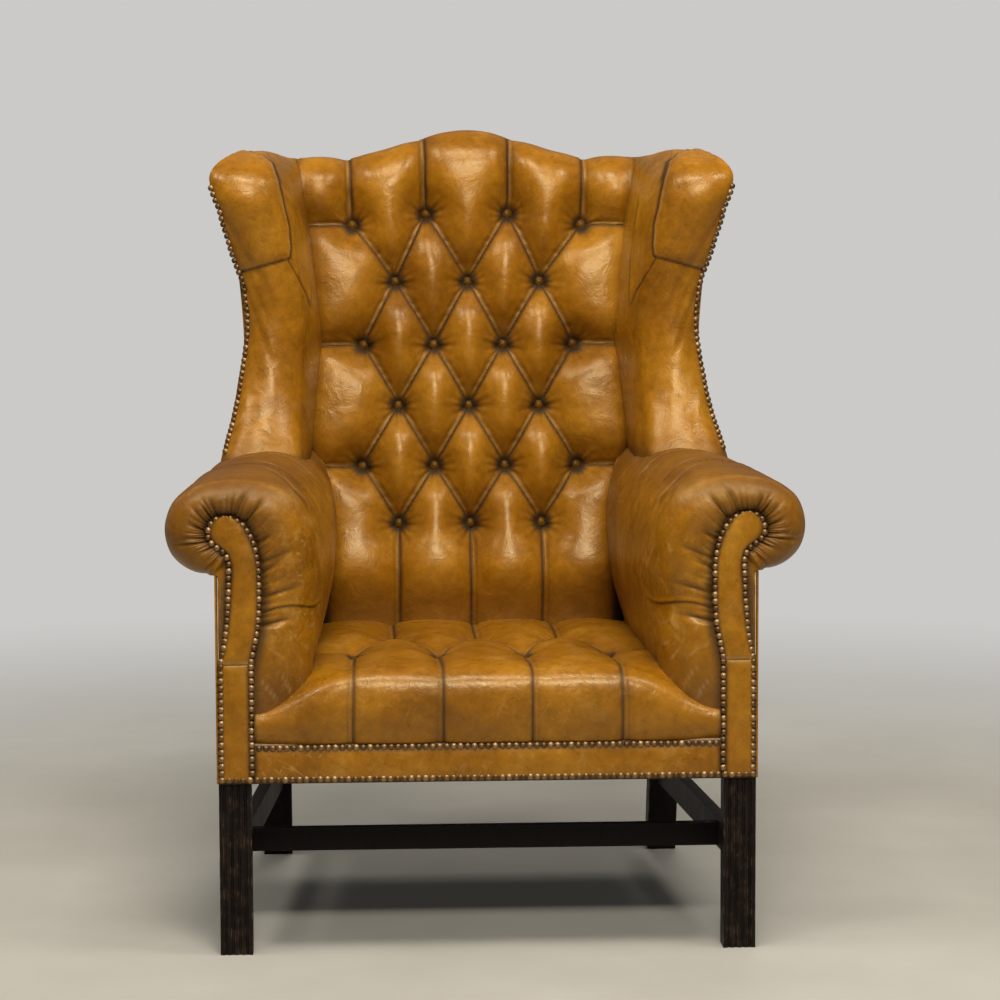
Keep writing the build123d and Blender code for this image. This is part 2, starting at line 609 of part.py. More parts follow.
def back_section(x):
    """A side view of the inside back at x, in (up the back, off the back)."""
    slack = PLEAT / TUFT_ROW
    turn = min(max(zigzag(x, TUFT_COLUMN), slack), 1 - slack)
    thin = 1 - 0.45 * fade(x, 3 * TUFT_COLUMN, BACK_IN)
    step = turn * TUFT_ROW
    row_2, row_4, row_6 = [TUFT_FIRST + row * TUFT_ROW for row in (1, 3, 5)]
    deep = TUFT_DEEP + TUFT_CREASE * math.sin(math.pi * turn) - 8 * fade(x, 3 * TUFT_COLUMN, BACK_IN)
    rest = 2 * WEB_THICK + HESSIAN
    top, rail_top = crest(x), crest(x) - CREST_PAD
    folds = [row_6 - step, row_4 + step, row_4 - step, row_2 + step, row_2 - step]
    shoulder = (top - CREST_ROLL, (TUFT_DEEP + 12 * turn) * thin + 8)
    points = [
        (0, rest), (rail_top, rest), (rail_top, -BACK_THICK), (top - CREST_PAD / 2, -BACK_THICK),
        (top, -BACK_THICK / 2), shoulder,
    ] + [(fold, deep) for fold in folds] + [(0, TUFT_DEEP + 6)]

    def puff(length):
        return -TUFT_PUFF * thin * length / (2 * TUFT_ROW)
    rises = [None, None, None, -3, -11, 0.6 * puff(shoulder[0] - folds[0])]
    rises += [puff(high - low) for high, low in zip(folds[:-1], folds[1:])]
    rises += [0.6 * puff(folds[-1]), None]
    face = outline(points, rises)
    plane = Plane(origin=(x, SEAT_BACK, BACK_START), z_dir=(1, 0, 0),
                  x_dir=(0, math.sin(math.radians(BACK_RAKE)), RAKE_COS))
    return plane * face


def back_pad():
    steps = 9
    inner = [3 * TUFT_COLUMN * step / steps for step in range(-steps, steps + 1)]
    outer = [3 * TUFT_COLUMN + (BACK_IN - 3 * TUFT_COLUMN) * share for share in (0.5, 1.0)]
    places = [-x for x in reversed(outer)] + inner + outer
    pad = loft([back_section(x) for x in places], ruled=True)
    for x, v in back_tufts():
        dimple = Cylinder(BUTTON + BUTTON_GAP, 2 * TUFT_PUFF)
        pad = pad - BACK_PLANE.location * Pos(x, v, TUFT_DEEP + TUFT_PUFF) * dimple
    return pad


def button():
    body = Cylinder(BUTTON, BUTTON_TALL, align=(Align.CENTER, Align.CENTER, Align.MIN))
    return fillet(body.edges().sort_by(Axis.Z)[-1], BUTTON_ROUND)


# Arms

def arm_section(y, grown, swell):
    """A front view of the arm pad at depth y, grown from the front panel's outline (0) to full size (1)."""
    out = frame_out(y)
    tight = [
        (POST_IN - 2, RAIL_TOP), (NECK_IN, NECK_START + 62), (SCROLL_TOP_OUT, SCROLL_TOP),
        (SCROLL_OUT, SCROLL_MID), (SCROLL_OUT - 12, SCROLL_MID - 16), (SCROLL_OUT - 24, SCROLL_MID - 30),
        (FRONT_OUT - 2, RAIL_TOP),
    ]
    full = [
        (ARM_IN, RAIL_TOP), (ARM_IN - swell, ROLL_LOW + 24), (out - 28, ARM_TOP), (out + ROLL_OUT, ROLL_MID),
        (out + 17, ROLL_LOW), (out, ROLL_LOW), (out, RAIL_TOP),
    ]
    points = [(a[0] + (b[0] - a[0]) * grown, a[1] + (b[1] - a[1]) * grown) for a, b in zip(tight, full)]
    rises = [None, 10 + 19 * grown, 8 + 12 * grown, 4 + 12 * grown, None, None, None]
    return Plane.XZ.offset(-y) * outline(points, rises)


def arm_solid():
    """The whole arm, before the frame's space is taken out: a scroll roll eased into its front panel."""
    sections = []
    for step in range(1, 7):
        angle = math.radians(90 * step / 6)
        sections.append(arm_section(ROLL_EASE * (1 - math.cos(angle)), math.sin(angle), 2))
    end = SEAT_BACK + 2 * LEG
    for step in range(1, 5):
        share = step / 4
        sections.append(arm_section(ROLL_EASE + (end - ROLL_EASE) * share, 1, 2 + ARM_SWELL * min(2 * share, 1)))
    return loft(sections, ruled=True)


def arm_cavity():
    """The hollow between the inside arm's hessian and the outside arm panel."""
    plan = side_strip(POST_THICK, SEAT_BACK + 3 * LEG, RAIL_THICK + HESSIAN, -2 * ROLL_OUT)
    return upward(plan, RAIL_BOTTOM, ROLL_LOW)


def arm_hessian(stile):
    plan = side_strip(POST_THICK, SEAT_BACK + LEG, RAIL_THICK + HESSIAN, RAIL_THICK)
    return upward(plan, RAIL_TOP + TACK_RAIL_LOW, ROLL_LOW) - stile


def outside_arm_panel():
    plan = side_strip(0, SEAT_BACK + 3 * LEG, 0, -LEATHER)
    return upward(plan, LEG_SHOWN, ROLL_LOW) & rear_trim()


# Wings

def wing_swing(z):
    """0 at the wing's waist, growing to 1 at its ear and at its foot."""
    if z > WING_WAIST:
        return ((z - WING_WAIST) / (WING_EAR - WING_WAIST)) ** 2
    return min((WING_WAIST - z) / (WING_WAIST - WING_FOOT), 1) ** 2


def wing_corners(z):
    """Plan of the wing at height z: rear outer, front outer, front inner and rear inner corners."""
    swing = min(wing_swing(z), 1)
    flare_out, flare_in, forward, rear_flare = WING_EAR_FLARES if z > WING_WAIST else WING_FOOT_FLARES
    inset = WING_CROWN * fade(z, WING_EAR, WING_TOP)
    front_y = WING_WAIST_DEPTH - forward * swing + inset
    return [
        (REAR_OUT - inset / 3, back_face(z)), (WING_WAIST_OUT + flare_out * swing - inset, front_y),
        (WING_WAIST_IN + flare_in * swing + inset / 2, front_y + 8),
        (WING_REAR_IN + rear_flare * swing + inset / 3, back_face(z)),
    ]


def wing_levels():
    """Heights of the wing's plans, closer together at its rounded top."""
    below = [WING_FOOT + (WING_WAIST - WING_FOOT) * share for share in (0.15, 0.55)]
    above = [WING_WAIST + (WING_EAR - WING_WAIST) * share for share in (0, 0.36, 0.72, 1)]
    return [WING_START] + below + above + [(WING_EAR + WING_TOP) / 2, WING_TOP]


def wing_solid():
    """The stuffed wing: a swelling front edge, hollow at the waist and flared at the ear."""
    sections = []
    for z in wing_levels():
        face = outline(wing_corners(z), [None, WING_ROLL - 10 * fade(z, WING_EAR, WING_TOP), None, None])
        sections.append(Plane.XY.offset(z) * face)
    cap = off_back(Pos((BACK_IN + REAR_OUT) / 2, STILE_TOP + CREST_PAD / 2)
                   * Rectangle(REAR_OUT - BACK_IN, CREST_PAD), -BACK_THICK, 0)
    return loft(sections), cap


def wing_cavity(post):
    """The hollow between the inside wing's hessian and the outside wing panel."""
    low, high = WING_CAVITY, WING_POST_TOP - WING_RAIL_TALL
    rear = WING_POST_DEPTH + WING_POST_WIDE
    side = make_face(Polyline((rear - WING_POST_WIDE / 2, low), (rear - WING_POST_WIDE / 2, high),
                              (back_face(high), high), (back_face(low), low), close=True))
    return across(side, WING_IN - HESSIAN, 2 * WING_IN) - post


def wing_hessian(post, cavity):
    return cavity & across(Pos(SEAT_BACK, WING_WAIST) * Rectangle(SEAT_BACK, SEAT_BACK), WING_IN - HESSIAN, WING_IN)


def outside_wing_panel():
    sections = []
    for z in wing_levels()[:-1]:
        rear, front = wing_corners(z)[:2]
        back = (REAR_OUT, back_face(z) + BACK_RUN)
        plan = make_face(Polyline(back, rear, front, (front[0] + LEATHER, front[1]),
                                  (rear[0] + LEATHER, rear[1]), (back[0] + LEATHER, back[1]), close=True))
        sections.append(Plane.XY.offset(z) * plan)
    return loft(sections)



# Webbing, springs, hessian and covers

def seat_webbing():
    """Straps from front to rear on the rails' undersides, and the cross straps under them."""
    straps = []
    middle = (WEB_COUNT - 1) / 2
    for index in range(WEB_COUNT):
        x = (index - middle) * WEB_PITCH
        length = SEAT_BACK + LEG - 2 * WEB_EDGE
        straps.append(Pos(x, (SEAT_BACK + LEG) / 2, RAIL_BOTTOM - WEB_THICK / 2) * Box(WEB_WIDE, length, WEB_THICK))
        y = WEB_FRONT + index * WEB_PITCH
        length = 2 * (frame_out(y + WEB_WIDE / 2) - WEB_EDGE)
        straps.append(Pos(0, y, RAIL_BOTTOM - 1.5 * WEB_THICK) * Box(length, WEB_WIDE, WEB_THICK))
    return straps


def biarc(start, start_way, end, end_way):
    """Two arcs that leave start along start_way and reach end along end_way."""
    chord = end - start
    both = start_way + end_way
    a = 2 * (start_way.dot(end_way) - 1)
    b = -2 * chord.dot(both)
    c = chord.dot(chord)
    reach = (-b - math.sqrt(b * b - 4 * a * c)) / (2 * a)
    middle = (start + start_way * reach + end - end_way * reach) * 0.5
    first = Edge.make_tangent_arc(start, start_way, middle)
    return [first, Edge.make_tangent_arc(middle, first.tangent_at(1), end)]


def spring_point(share):
    """A place on the waisted coil, and the way the wire runs there, at a share of its turns."""
    low = RAIL_BOTTOM + SPRING_WIRE
    high = SPRING_TOP - HESSIAN - SPRING_WIRE
    angle = 2 * math.pi * SPRING_TURNS * share
    radius = SPRING_WAIST + (SPRING_END - SPRING_WAIST) * (2 * share - 1) ** 2
    widen = 4 * (SPRING_END - SPRING_WAIST) * (2 * share - 1)
    turn = 2 * math.pi * SPRING_TURNS
    place = Vector(radius * math.cos(angle), radius * math.sin(angle), low + (high - low) * share)
    way = Vector(widen * math.cos(angle) - radius * turn * math.sin(angle),
                 widen * math.sin(angle) + radius * turn * math.cos(angle), high - low)
    return place, way.normalized()


def spring():
    """One coil spring, an unbroken wire swept along arcs of about a quarter turn."""
    count = 4 * SPRING_TURNS
    edges = []
    for index in range(count):
        start, start_way = spring_point(index / count)
        end, end_way = spring_point((index + 1) / count)
        edges += biarc(start, start_way, end, end_way)
    path = Wire(edges)
    section = Plane(origin=path.position_at(0), z_dir=path.tangent_at(0)) * Circle(SPRING_WIRE)
    return sweep(section, path=path)


def spring_gap():
    """The least distance between neighbouring turns of a spring's wire."""
    count = 48 * SPRING_TURNS
    places = [spring_point(index / count)[0] for index in range(count + 1)]
    far = 24
    return min((places[b] - places[a]).length for a in range(count + 1) for b in range(a + far, count + 1)) \
        - 2 * SPRING_WIRE


def seat_springs():
    one = spring()
    middle = (SPRING_ROWS - 1) / 2
    step = WEB_PITCH * (WEB_COUNT - 1) / (SPRING_ROWS - 1)
    places = [((column - middle) * step, WEB_FRONT + row * step)
              for row in range(SPRING_ROWS) for column in range(SPRING_ROWS)]
    return [Pos(x, y, 0) * one for x, y in places]


def dust_cover(legs):
    """The cloth under the seat, cut round the legs."""
    rear = SEAT_BACK + LEG - WEB_EDGE
    half, half_rear = FRONT_OUT - WEB_EDGE, REAR_OUT - WEB_EDGE
    plan = make_face(Polyline((-half, WEB_EDGE), (half, WEB_EDGE), (half, LEG), (half_rear, SEAT_BACK),
                              (half_rear, rear), (-half_rear, rear), (-half_rear, SEAT_BACK),
                              (-half, LEG), close=True))
    top = RAIL_BOTTOM - 2 * WEB_THICK
    cover = upward(plan, top - HESSIAN, top)
    for leg in legs:
        cover = cover - leg
    return cover


def back_webbing():
    """Straps across the stiles, and straps from the tacking rail to the crest rail over them."""
    straps = []
    half = BACK_LAYER
    low = BACK_RAIL_LOW + BACK_RAIL_TALL + WEB_WIDE
    for index in range(BACK_WEB_COUNT):
        strap = Pos(0, low + index * BACK_WEB_PITCH) * Rectangle(2 * half, WEB_WIDE)
        straps.append(off_back(strap, 0, WEB_THICK))
        x = (index - (BACK_WEB_COUNT - 1) / 2) * WEB_PITCH
        high = crest(CREST_HALF) - CREST_PAD - WEB_EDGE
        strap = Pos(x, (BACK_RAIL_LOW + high) / 2) * Rectangle(WEB_WIDE, high - BACK_RAIL_LOW)
        straps.append(off_back(strap, WEB_THICK, 2 * WEB_THICK))
    return straps


def back_hessian():
    face = crest_face(BACK_RAIL_LOW, CREST_PAD + WEB_EDGE, BACK_LAYER)
    return off_back(face, 2 * WEB_THICK, 2 * WEB_THICK + HESSIAN)


def outside_back_panel():
    """The leather over the whole rear, upright at the seat and raked above it."""
    high = 2 * BACK_START + STILE_TOP
    slant = LEATHER / RAKE_COS
    rear = SEAT_BACK + LEG
    knee = BACK_START + (LEG - BACK_RUN) / RAKE
    knee_out = BACK_START + (LEG + LEATHER - BACK_RUN - slant) / RAKE
    side = make_face(Polyline(
        (rear, LEG_SHOWN), (rear, knee), (back_face(high) + BACK_RUN, high),
        (back_face(high) + BACK_RUN + slant, high), (rear + LEATHER, knee_out), (rear + LEATHER, LEG_SHOWN),
        close=True))
    sheet = across(side, -REAR_OUT - LEATHER, REAR_OUT + LEATHER)
    top = off_back(crest_face(-BACK_START, CREST_PAD / 2, REAR_OUT + 2 * LEATHER), -4 * LEG, LEG)
    return sheet & top


# The whole chair

def build():
    """Every node of the chair: one shape, or a list of alike shapes."""
    half, nodes, groups, plain = build_frame()
    nodes = dict(nodes)
    nodes.update(groups)

    def pair(name, shape):
        nodes[name + "_left"] = mirrored(shape)
        nodes[name + "_right"] = shape
    for name, shape in half.items():
        pair(name, shape)
    posts = [nodes[name + side] for name in ("arm_post", "rear_leg") for side in ("_left", "_right")]

    # Linings
    dome = spring_dome(0)
    hessian = dome - spring_dome(HESSIAN)
    for shape in posts:
        hessian = hessian - shape
    nodes["seat_hessian"] = hessian
    nodes["seat_webbing"] = seat_webbing()
    nodes["seat_springs"] = seat_springs()
    nodes["dust_cover"] = dust_cover([nodes[name + side] for name in ("front_leg", "rear_leg")
                                      for side in ("_left", "_right")])
    nodes["back_webbing"] = back_webbing()
    nodes["back_hessian"] = back_hessian()
    pair("arm_hessian", arm_hessian(plain_rear_leg()))
    wing_space = wing_cavity(plain_wing_post())
    pair("wing_hessian", wing_hessian(half["wing_post"], wing_space))

    # Seat, arms, wings and back, each cut by what it is stuffed against
    seat = seat_pad()
    layers = back_layers()
    arm = arm_solid() & rear_trim()
    for shape in (plain_rear_leg(), through(arm_post_outline(), -LEG, POST_THICK), *plain,
                  arm_cavity(), dome, seat, layers, between_stiles()):
        arm = arm - shape
    wing, cap = wing_solid()
    for shape in (*plain, wing_space, layers, arm):
        wing = wing - shape
    wing = wing + cap
    back = back_pad() - dome - seat - nodes["crest_rail"]
    for shape in (arm, wing):
        back = back - shape - mirrored(shape)
    nodes["seat_pad"] = seat
    nodes["inside_back_pad"] = back
    pair("arm_pad", arm)
    pair("wing_pad", wing)

    # Leather panels and covered buttons
    pair("outside_arm_panel", outside_arm_panel())
    pair("outside_wing_panel", outside_wing_panel() - wing - arm - half["wing_rail"])
    pair("arm_front_panel", through(arm_panel_outline(), -LEATHER, 0))
    wide, tall = FRONT_OUT - 1 - POST_IN, PANEL_SEAM - LEG_SHOWN
    pair("post_front_panel", through(Pos(POST_IN + wide / 2, LEG_SHOWN + tall / 2) * Rectangle(wide, tall),
                                     -LEATHER, 0))
    tall = SEAT_LIP_LOW - LEG_SHOWN
    nodes["front_border"] = through(Pos(0, LEG_SHOWN + tall / 2) * Rectangle(2 * POST_IN, tall), -LEATHER, 0)
    nodes["outside_back_panel"] = outside_back_panel()
    knob = button()
    nodes["seat_buttons"] = [Pos(x, y, SEAT_TUFT) * knob for x, y in seat_tufts()]
    nodes["back_buttons"] = [BACK_PLANE.location * Pos(x, v, TUFT_DEEP) * knob for x, v in back_tufts()]
    return nodes


def main():
    nodes = build()
    shapes = [shape for node in nodes.values() for shape in (node if isinstance(node, list) else [node])]
    box = Compound(children=[copy_of for shape in shapes for copy_of in shape.solids()]).bounding_box()
    centre = Pos(0, -(box.min.Y + box.max.Y) / 2, 0)
    os.makedirs("parts", exist_ok=True)
    for name, node in nodes.items():
        solids = [solid for shape in (node if isinstance(node, list) else [node]) for solid in shape.solids()]
        moved = [centre * solid for solid in solids]
        export_step(moved[0] if len(moved) == 1 else Compound(children=moved), f"parts/{name}.step")
        print(name, len(moved), round(sum(solid.volume for solid in moved) / 1000, 1), "cm3")
    print("size", [round(value, 1) for value in (box.size.X, box.size.Y, box.size.Z)], "shift", centre.position.Y)
    print("least gap between a spring's turns", round(spring_gap(), 2), "mm")


main()
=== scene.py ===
"""Looks of a tufted leather wing chair: stuffed leather, brass nails, worn dark legs and a plain studio.

Shapes are worked out in millimetres in the chair's own frame: X to the right of someone who looks at its
front, Y back from the front face of the legs, Z up. to_metres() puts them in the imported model's frame.
Paired pieces are made on the +X side and mirrored.
"""

import math

import bmesh
import bpy
import numpy as np
from mathutils import Matrix, Vector, noise


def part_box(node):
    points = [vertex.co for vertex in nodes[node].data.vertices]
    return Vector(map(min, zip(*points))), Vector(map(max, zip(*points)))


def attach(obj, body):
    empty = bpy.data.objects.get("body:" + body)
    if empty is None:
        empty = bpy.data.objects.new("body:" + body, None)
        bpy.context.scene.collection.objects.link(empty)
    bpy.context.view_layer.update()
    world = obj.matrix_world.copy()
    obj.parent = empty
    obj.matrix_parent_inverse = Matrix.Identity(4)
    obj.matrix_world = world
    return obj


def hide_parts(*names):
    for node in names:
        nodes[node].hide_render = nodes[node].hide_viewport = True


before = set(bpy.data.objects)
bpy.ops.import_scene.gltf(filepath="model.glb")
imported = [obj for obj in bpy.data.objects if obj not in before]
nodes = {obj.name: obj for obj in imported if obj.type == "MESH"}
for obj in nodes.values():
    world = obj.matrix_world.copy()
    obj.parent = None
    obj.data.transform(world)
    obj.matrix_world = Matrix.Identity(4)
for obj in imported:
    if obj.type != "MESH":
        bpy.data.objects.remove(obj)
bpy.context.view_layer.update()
scene = bpy.context.scene

FRONT_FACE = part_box("front_leg_left")[0].y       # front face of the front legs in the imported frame, metres
SIDES = (("left", -1), ("right", 1))


# Shared shape helpers

def to_metres(points):
    """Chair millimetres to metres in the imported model's frame."""
    placed = np.asarray(points, float) * 0.001
    placed[..., 1] += FRONT_FACE
    return placed


def ease(value, low, high):
    """0 up to low, 1 from high on, smooth between."""
    share = np.clip((np.asarray(value, float) - low) / (high - low), 0, 1)
    return share * share * (3 - 2 * share)


def dome(distance, reach):
    """A quarter round: 0 at distance 0, 1 from reach on."""
    share = np.clip(np.asarray(distance, float) / reach, 0, 1)
    return np.sqrt(1 - (1 - share) ** 2)


def bell(distance, width):
    """1 at distance 0, fading within about two widths."""
    return np.exp(-(np.asarray(distance, float) / width) ** 2)


def span_curve(points, counts):
    """A smooth curve through points, with counts[i] steps from point i to the next one."""
    points = np.asarray(points, float)
    chord = np.linalg.norm(np.diff(points[:, :2], axis=0), axis=1)
    place = np.concatenate([[0], np.cumsum(chord)])
    slope = np.gradient(points, place, axis=0)
    parts = []
    for i, count in enumerate(counts):
        t = (np.arange(count) / count)[:, None]
        part = (2 * t ** 3 - 3 * t ** 2 + 1) * points[i]
        part = part + (t ** 3 - 2 * t ** 2 + t) * chord[i] * slope[i]
        part = part + (3 * t ** 2 - 2 * t ** 3) * points[i + 1]
        parts.append(part + (t ** 3 - t ** 2) * chord[i] * slope[i + 1])
    return np.concatenate(parts + [points[-1:]])


def even_curve(points, count):
    """count points, evenly spaced along a smooth curve through points."""
    fine = span_curve(points, [40] * (len(points) - 1))
    run = np.concatenate([[0], np.cumsum(np.linalg.norm(np.diff(fine, axis=0), axis=1))])
    spots = np.linspace(0, run[-1], count)
    return np.stack([np.interp(spots, run, fine[:, axis]) for axis in range(fine.shape[1])], axis=1)


def wrinkles(grid, size, seed):
    """Smooth random heights from -1 to 1 over a grid of points, size millimetres across."""
    shift = Vector((seed * 17.3, seed * 5.1, seed * 9.7))
    flat = [noise.noise(Vector(point) / size + shift) for point in grid.reshape(-1, 3)]
    return np.array(flat).reshape(grid.shape[:2])


def grid_normals(grid, wrap):
    """Outward unit normals of a grid whose rows turn anticlockwise round its columns."""
    if wrap:
        along = np.roll(grid, -1, axis=1) - np.roll(grid, 1, axis=1)
    else:
        along = np.gradient(grid, axis=1)
    normal = np.cross(along, np.gradient(grid, axis=0))
    return normal / np.maximum(np.linalg.norm(normal, axis=2, keepdims=True), 1e-9)


def grid_mesh(name, grid, marks, wrap=False):
    """A closed mesh over a grid of points. wrap joins the ends of each row, and flat faces close the rest.
    marks are named values per point, which the leather reads."""
    rows, columns = grid.shape[:2]
    mesh = bpy.data.meshes.new(name)
    index = np.arange(rows * columns).reshape(rows, columns)
    right = np.roll(index, -1, axis=1) if wrap else index[:, 1:]
    left = index if wrap else index[:, :-1]
    faces = np.stack([left[:-1], right[:-1], right[1:], left[1:]], axis=-1).reshape(-1, 4).tolist()
    if wrap:
        faces += [index[0, ::-1].tolist(), index[-1].tolist()]
    else:
        rim = np.concatenate([index[0, :-1], index[:-1, -1], index[-1, :0:-1], index[:0:-1, 0]])
        faces.append(rim[::-1].tolist())
    mesh.from_pydata(to_metres(grid).reshape(-1, 3).tolist(), [], faces)
    for mark, values in marks.items():
        layer = mesh.attributes.new(mark, "FLOAT", "POINT")
        layer.data.foreach_set("value", np.clip(values, 0, 1).astype(np.float32).ravel())
    mesh.polygons.foreach_set("use_smooth", [True] * len(mesh.polygons))
    shape = bmesh.new()
    shape.from_mesh(mesh)
    bmesh.ops.recalc_face_normals(shape, faces=shape.faces)
    shape.to_mesh(mesh)
    shape.free()
    mesh.update()
    return mesh


def with_rim(grid, marks, left, right, first=None, last=None):
    """The grid and its marks with a rim column at both ends of its rows, and rim rows before and after."""
    grid = np.concatenate([left[:, None], grid, right[:, None]], axis=1)
    marks = {name: np.pad(values, ((0, 0), (1, 1)), mode="edge") for name, values in marks.items()}
    before, after = int(first is not None), int(last is not None)
    rows = [np.pad(first, ((1, 1), (0, 0)), mode="edge")[None]] if before else []
    rows.append(grid)
    rows += [np.pad(last, ((1, 1), (0, 0)), mode="edge")[None]] if after else []
    marks = {name: np.pad(values, ((before, after), (0, 0)), mode="edge") for name, values in marks.items()}
    return np.concatenate(rows), marks


def piece(name, mesh, material, slot, *replaced):
    """A finished piece of the chair, riding on its only body."""
    made = bpy.data.objects.new(name, mesh)
    scene.collection.objects.link(made)
    mesh.materials.clear()
    mesh.materials.append(material)
    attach(made, "root")
    if replaced:
        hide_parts(*replaced)
    return made


# Cloth: leather swells between the points where buttons, pleats and nails hold it

SWELL_FRAMES = 14
SWELL_CAP = 0.012                # metres that a point may move


def swell(grid, held, wrap, pressure):
    """The grid after its stuffing has pushed the leather out between its held points."""
    mesh = grid_mesh("swelling", grid, {}, wrap)
    cover = bpy.data.objects.new("swelling", mesh)
    scene.collection.objects.link(cover)
    group = cover.vertex_groups.new(name="held")
    for point, weight in enumerate(held.ravel()):
        if weight > 0.02:
            group.add([point], float(min(weight, 1)), "REPLACE")
    cloth = cover.modifiers.new("cloth", "CLOTH")
    cloth.settings.quality = 5
    cloth.settings.mass = 0.4
    cloth.settings.tension_stiffness = 30
    cloth.settings.compression_stiffness = 30
    cloth.settings.shear_stiffness = 15
    cloth.settings.bending_stiffness = 1.5
    cloth.settings.vertex_group_mass = "held"
    cloth.settings.use_pressure = True
    cloth.settings.uniform_pressure_force = pressure
    cloth.settings.effector_weights.gravity = 0
    cloth.collision_settings.use_collision = False
    cloth.point_cache.frame_start = 1
    cloth.point_cache.frame_end = SWELL_FRAMES
    for step in range(1, SWELL_FRAMES + 1):
        scene.frame_set(step)
    swollen = cover.evaluated_get(bpy.context.evaluated_depsgraph_get()).data
    places = np.empty(len(mesh.vertices) * 3)
    swollen.vertices.foreach_get("co", places)
    rest = to_metres(grid).reshape(-1, 3)
    move = places.reshape(-1, 3) - rest
    length = np.maximum(np.linalg.norm(move, axis=1, keepdims=True), 1e-9)
    move *= np.minimum(1, SWELL_CAP / length)
    scene.frame_set(1)
    bpy.data.objects.remove(cover)
    bpy.data.meshes.remove(mesh)
    return grid + (move * 1000).reshape(grid.shape)


def relaxed(grid, held, rounds):
    """The grid with its loose points drawn towards their neighbours, which rounds off ridges."""
    loose = 0.5 * (1 - np.clip(held, 0, 1))[1:-1, 1:-1, None]
    grid = grid.copy()
    for _ in range(rounds):
        mean = (grid[:-2, 1:-1] + grid[2:, 1:-1] + grid[1:-1, :-2] + grid[1:-1, 2:]) / 4
        grid[1:-1, 1:-1] += loose * (mean - grid[1:-1, 1:-1])
    return grid


def finer(grid, factor, wrap):
    """The same surface with factor times as many rows and columns, smooth between the given ones."""
    def rows_between(lines, closed):
        if closed:
            padded = np.concatenate([lines[-1:], lines, lines[:2]])
        else:
            padded = np.concatenate([2 * lines[:1] - lines[1:2], lines, 2 * lines[-1:] - lines[-2:-1]])
        a, b, c, d = padded[:-3], padded[1:-2], padded[2:-1], padded[3:]
        steps = []
        for step in range(factor):
            t = step / factor
            steps.append(b + 0.5 * t * (c - a + t * (2 * a - 5 * b + 4 * c - d + t * (3 * (b - c) + d - a))))
        fine = np.stack(steps, axis=1).reshape(-1, *lines.shape[1:])
        return fine if closed else np.concatenate([fine, lines[-1:]])
    tall = rows_between(grid, False)
    return rows_between(tall.swapaxes(0, 1), wrap).swapaxes(0, 1)


# Pleats: folded lines from button to button, as (start, end, floor at start, halfway and end)

FLAP = 7.0                       # width of a pleat's folded flap
LIP = 1.3                        # height of its rounded edge


class Pleats:
    """Distances of flat points (x, run) from a set of pleats and buttons."""

    def __init__(self, lines, buttons, x, run):
        self.near = np.full(x.shape, 1e6)
        self.side = np.zeros(x.shape)
        self.floor = np.zeros(x.shape)
        for (ax, ay), (bx, by), first, half, last in lines:
            wide, tall = bx - ax, by - ay
            length = math.hypot(wide, tall)
            share = np.clip(((x - ax) * wide + (run - ay) * tall) / length ** 2, 0, 1)
            off_x, off_y = x - ax - share * wide, run - ay - share * tall
            apart = np.hypot(off_x, off_y)
            up_x, up_y = (-tall / length, wide / length) if wide > 0 else (tall / length, -wide / length)
            if abs(wide) < 0.25 * abs(tall):
                up_x, up_y = abs(tall) / length * math.copysign(1, ax + bx), 0
            closer = apart < self.near
            self.near = np.where(closer, apart, self.near)
            self.side = np.where(closer, off_x * up_x + off_y * up_y, self.side)
            bow = half - (first + last) / 2
            floor = first + (last - first) * share + 4 * bow * share * (1 - share)
            self.floor = np.where(closer, floor, self.floor)
        gaps = [np.hypot(x - bx, run - by) for bx, by in buttons]
        self.button = np.min(gaps, axis=0)
        nearest = np.argmin(gaps, axis=0)
        places = np.asarray(buttons)[nearest]
        self.turn = np.arctan2(run - places[..., 1], x - places[..., 0])
        self.which = nearest

    def rise(self, crown, reach, button_reach):
        """Height of the stuffed leather: the pleats' floors, swelling to crown between them."""
        away = np.where(self.side > 0, np.maximum(self.near - FLAP, 0), self.near)
        full = dome(away, reach) * (0.28 + 0.72 * ease(self.button, 3, button_reach))
        return self.floor + (crown - self.floor) * full

    def detail(self):
        """The rounded edge of the folded flap, and short creases that fan out from the buttons."""
        across = (self.side - FLAP / 2) / (FLAP / 2)
        edge = LIP * np.sqrt(np.maximum(0, 1 - across ** 2)) * (self.near < FLAP + 1)
        edge = edge * ease(self.button, 8, 22)
        fan = np.sin(self.turn * 9 + self.which * 2.3) * np.sin(self.turn * 4 + self.which)
        creases = 1.5 * fan * ease(self.button, 7, 13) * (1 - ease(self.button, 16, 44))
        return edge + creases

    def crease_shade_and_dirt(self):
        """Painted shade and dirt along the pleats, and a painted shadow ring round the buttons."""
        line = bell(self.near * (self.side <= 0) + np.abs(self.side + 0.6) * (self.side > 0), 2.5)
        second = 0.22 * bell(self.side - FLAP - 0.8, 1.5) * (self.near < FLAP + 4)
        return np.maximum(np.maximum(line, second), 1 - ease(self.button, 9, 22))

    def hollow_shade_and_dirt(self):
        """Painted shade in the sunk places, with old dirt in them."""
        return np.maximum(0.75 * np.exp(-self.near / 9), np.exp(-self.button / 27))

    def flap(self):
        """Where the folded flaps catch the light."""
        return bell(self.side - 0.55 * FLAP, 0.3 * FLAP) * (self.near < FLAP + 1) * ease(self.button, 12, 30)


# Inside back: diamond tufts under a serpentine rolled crest

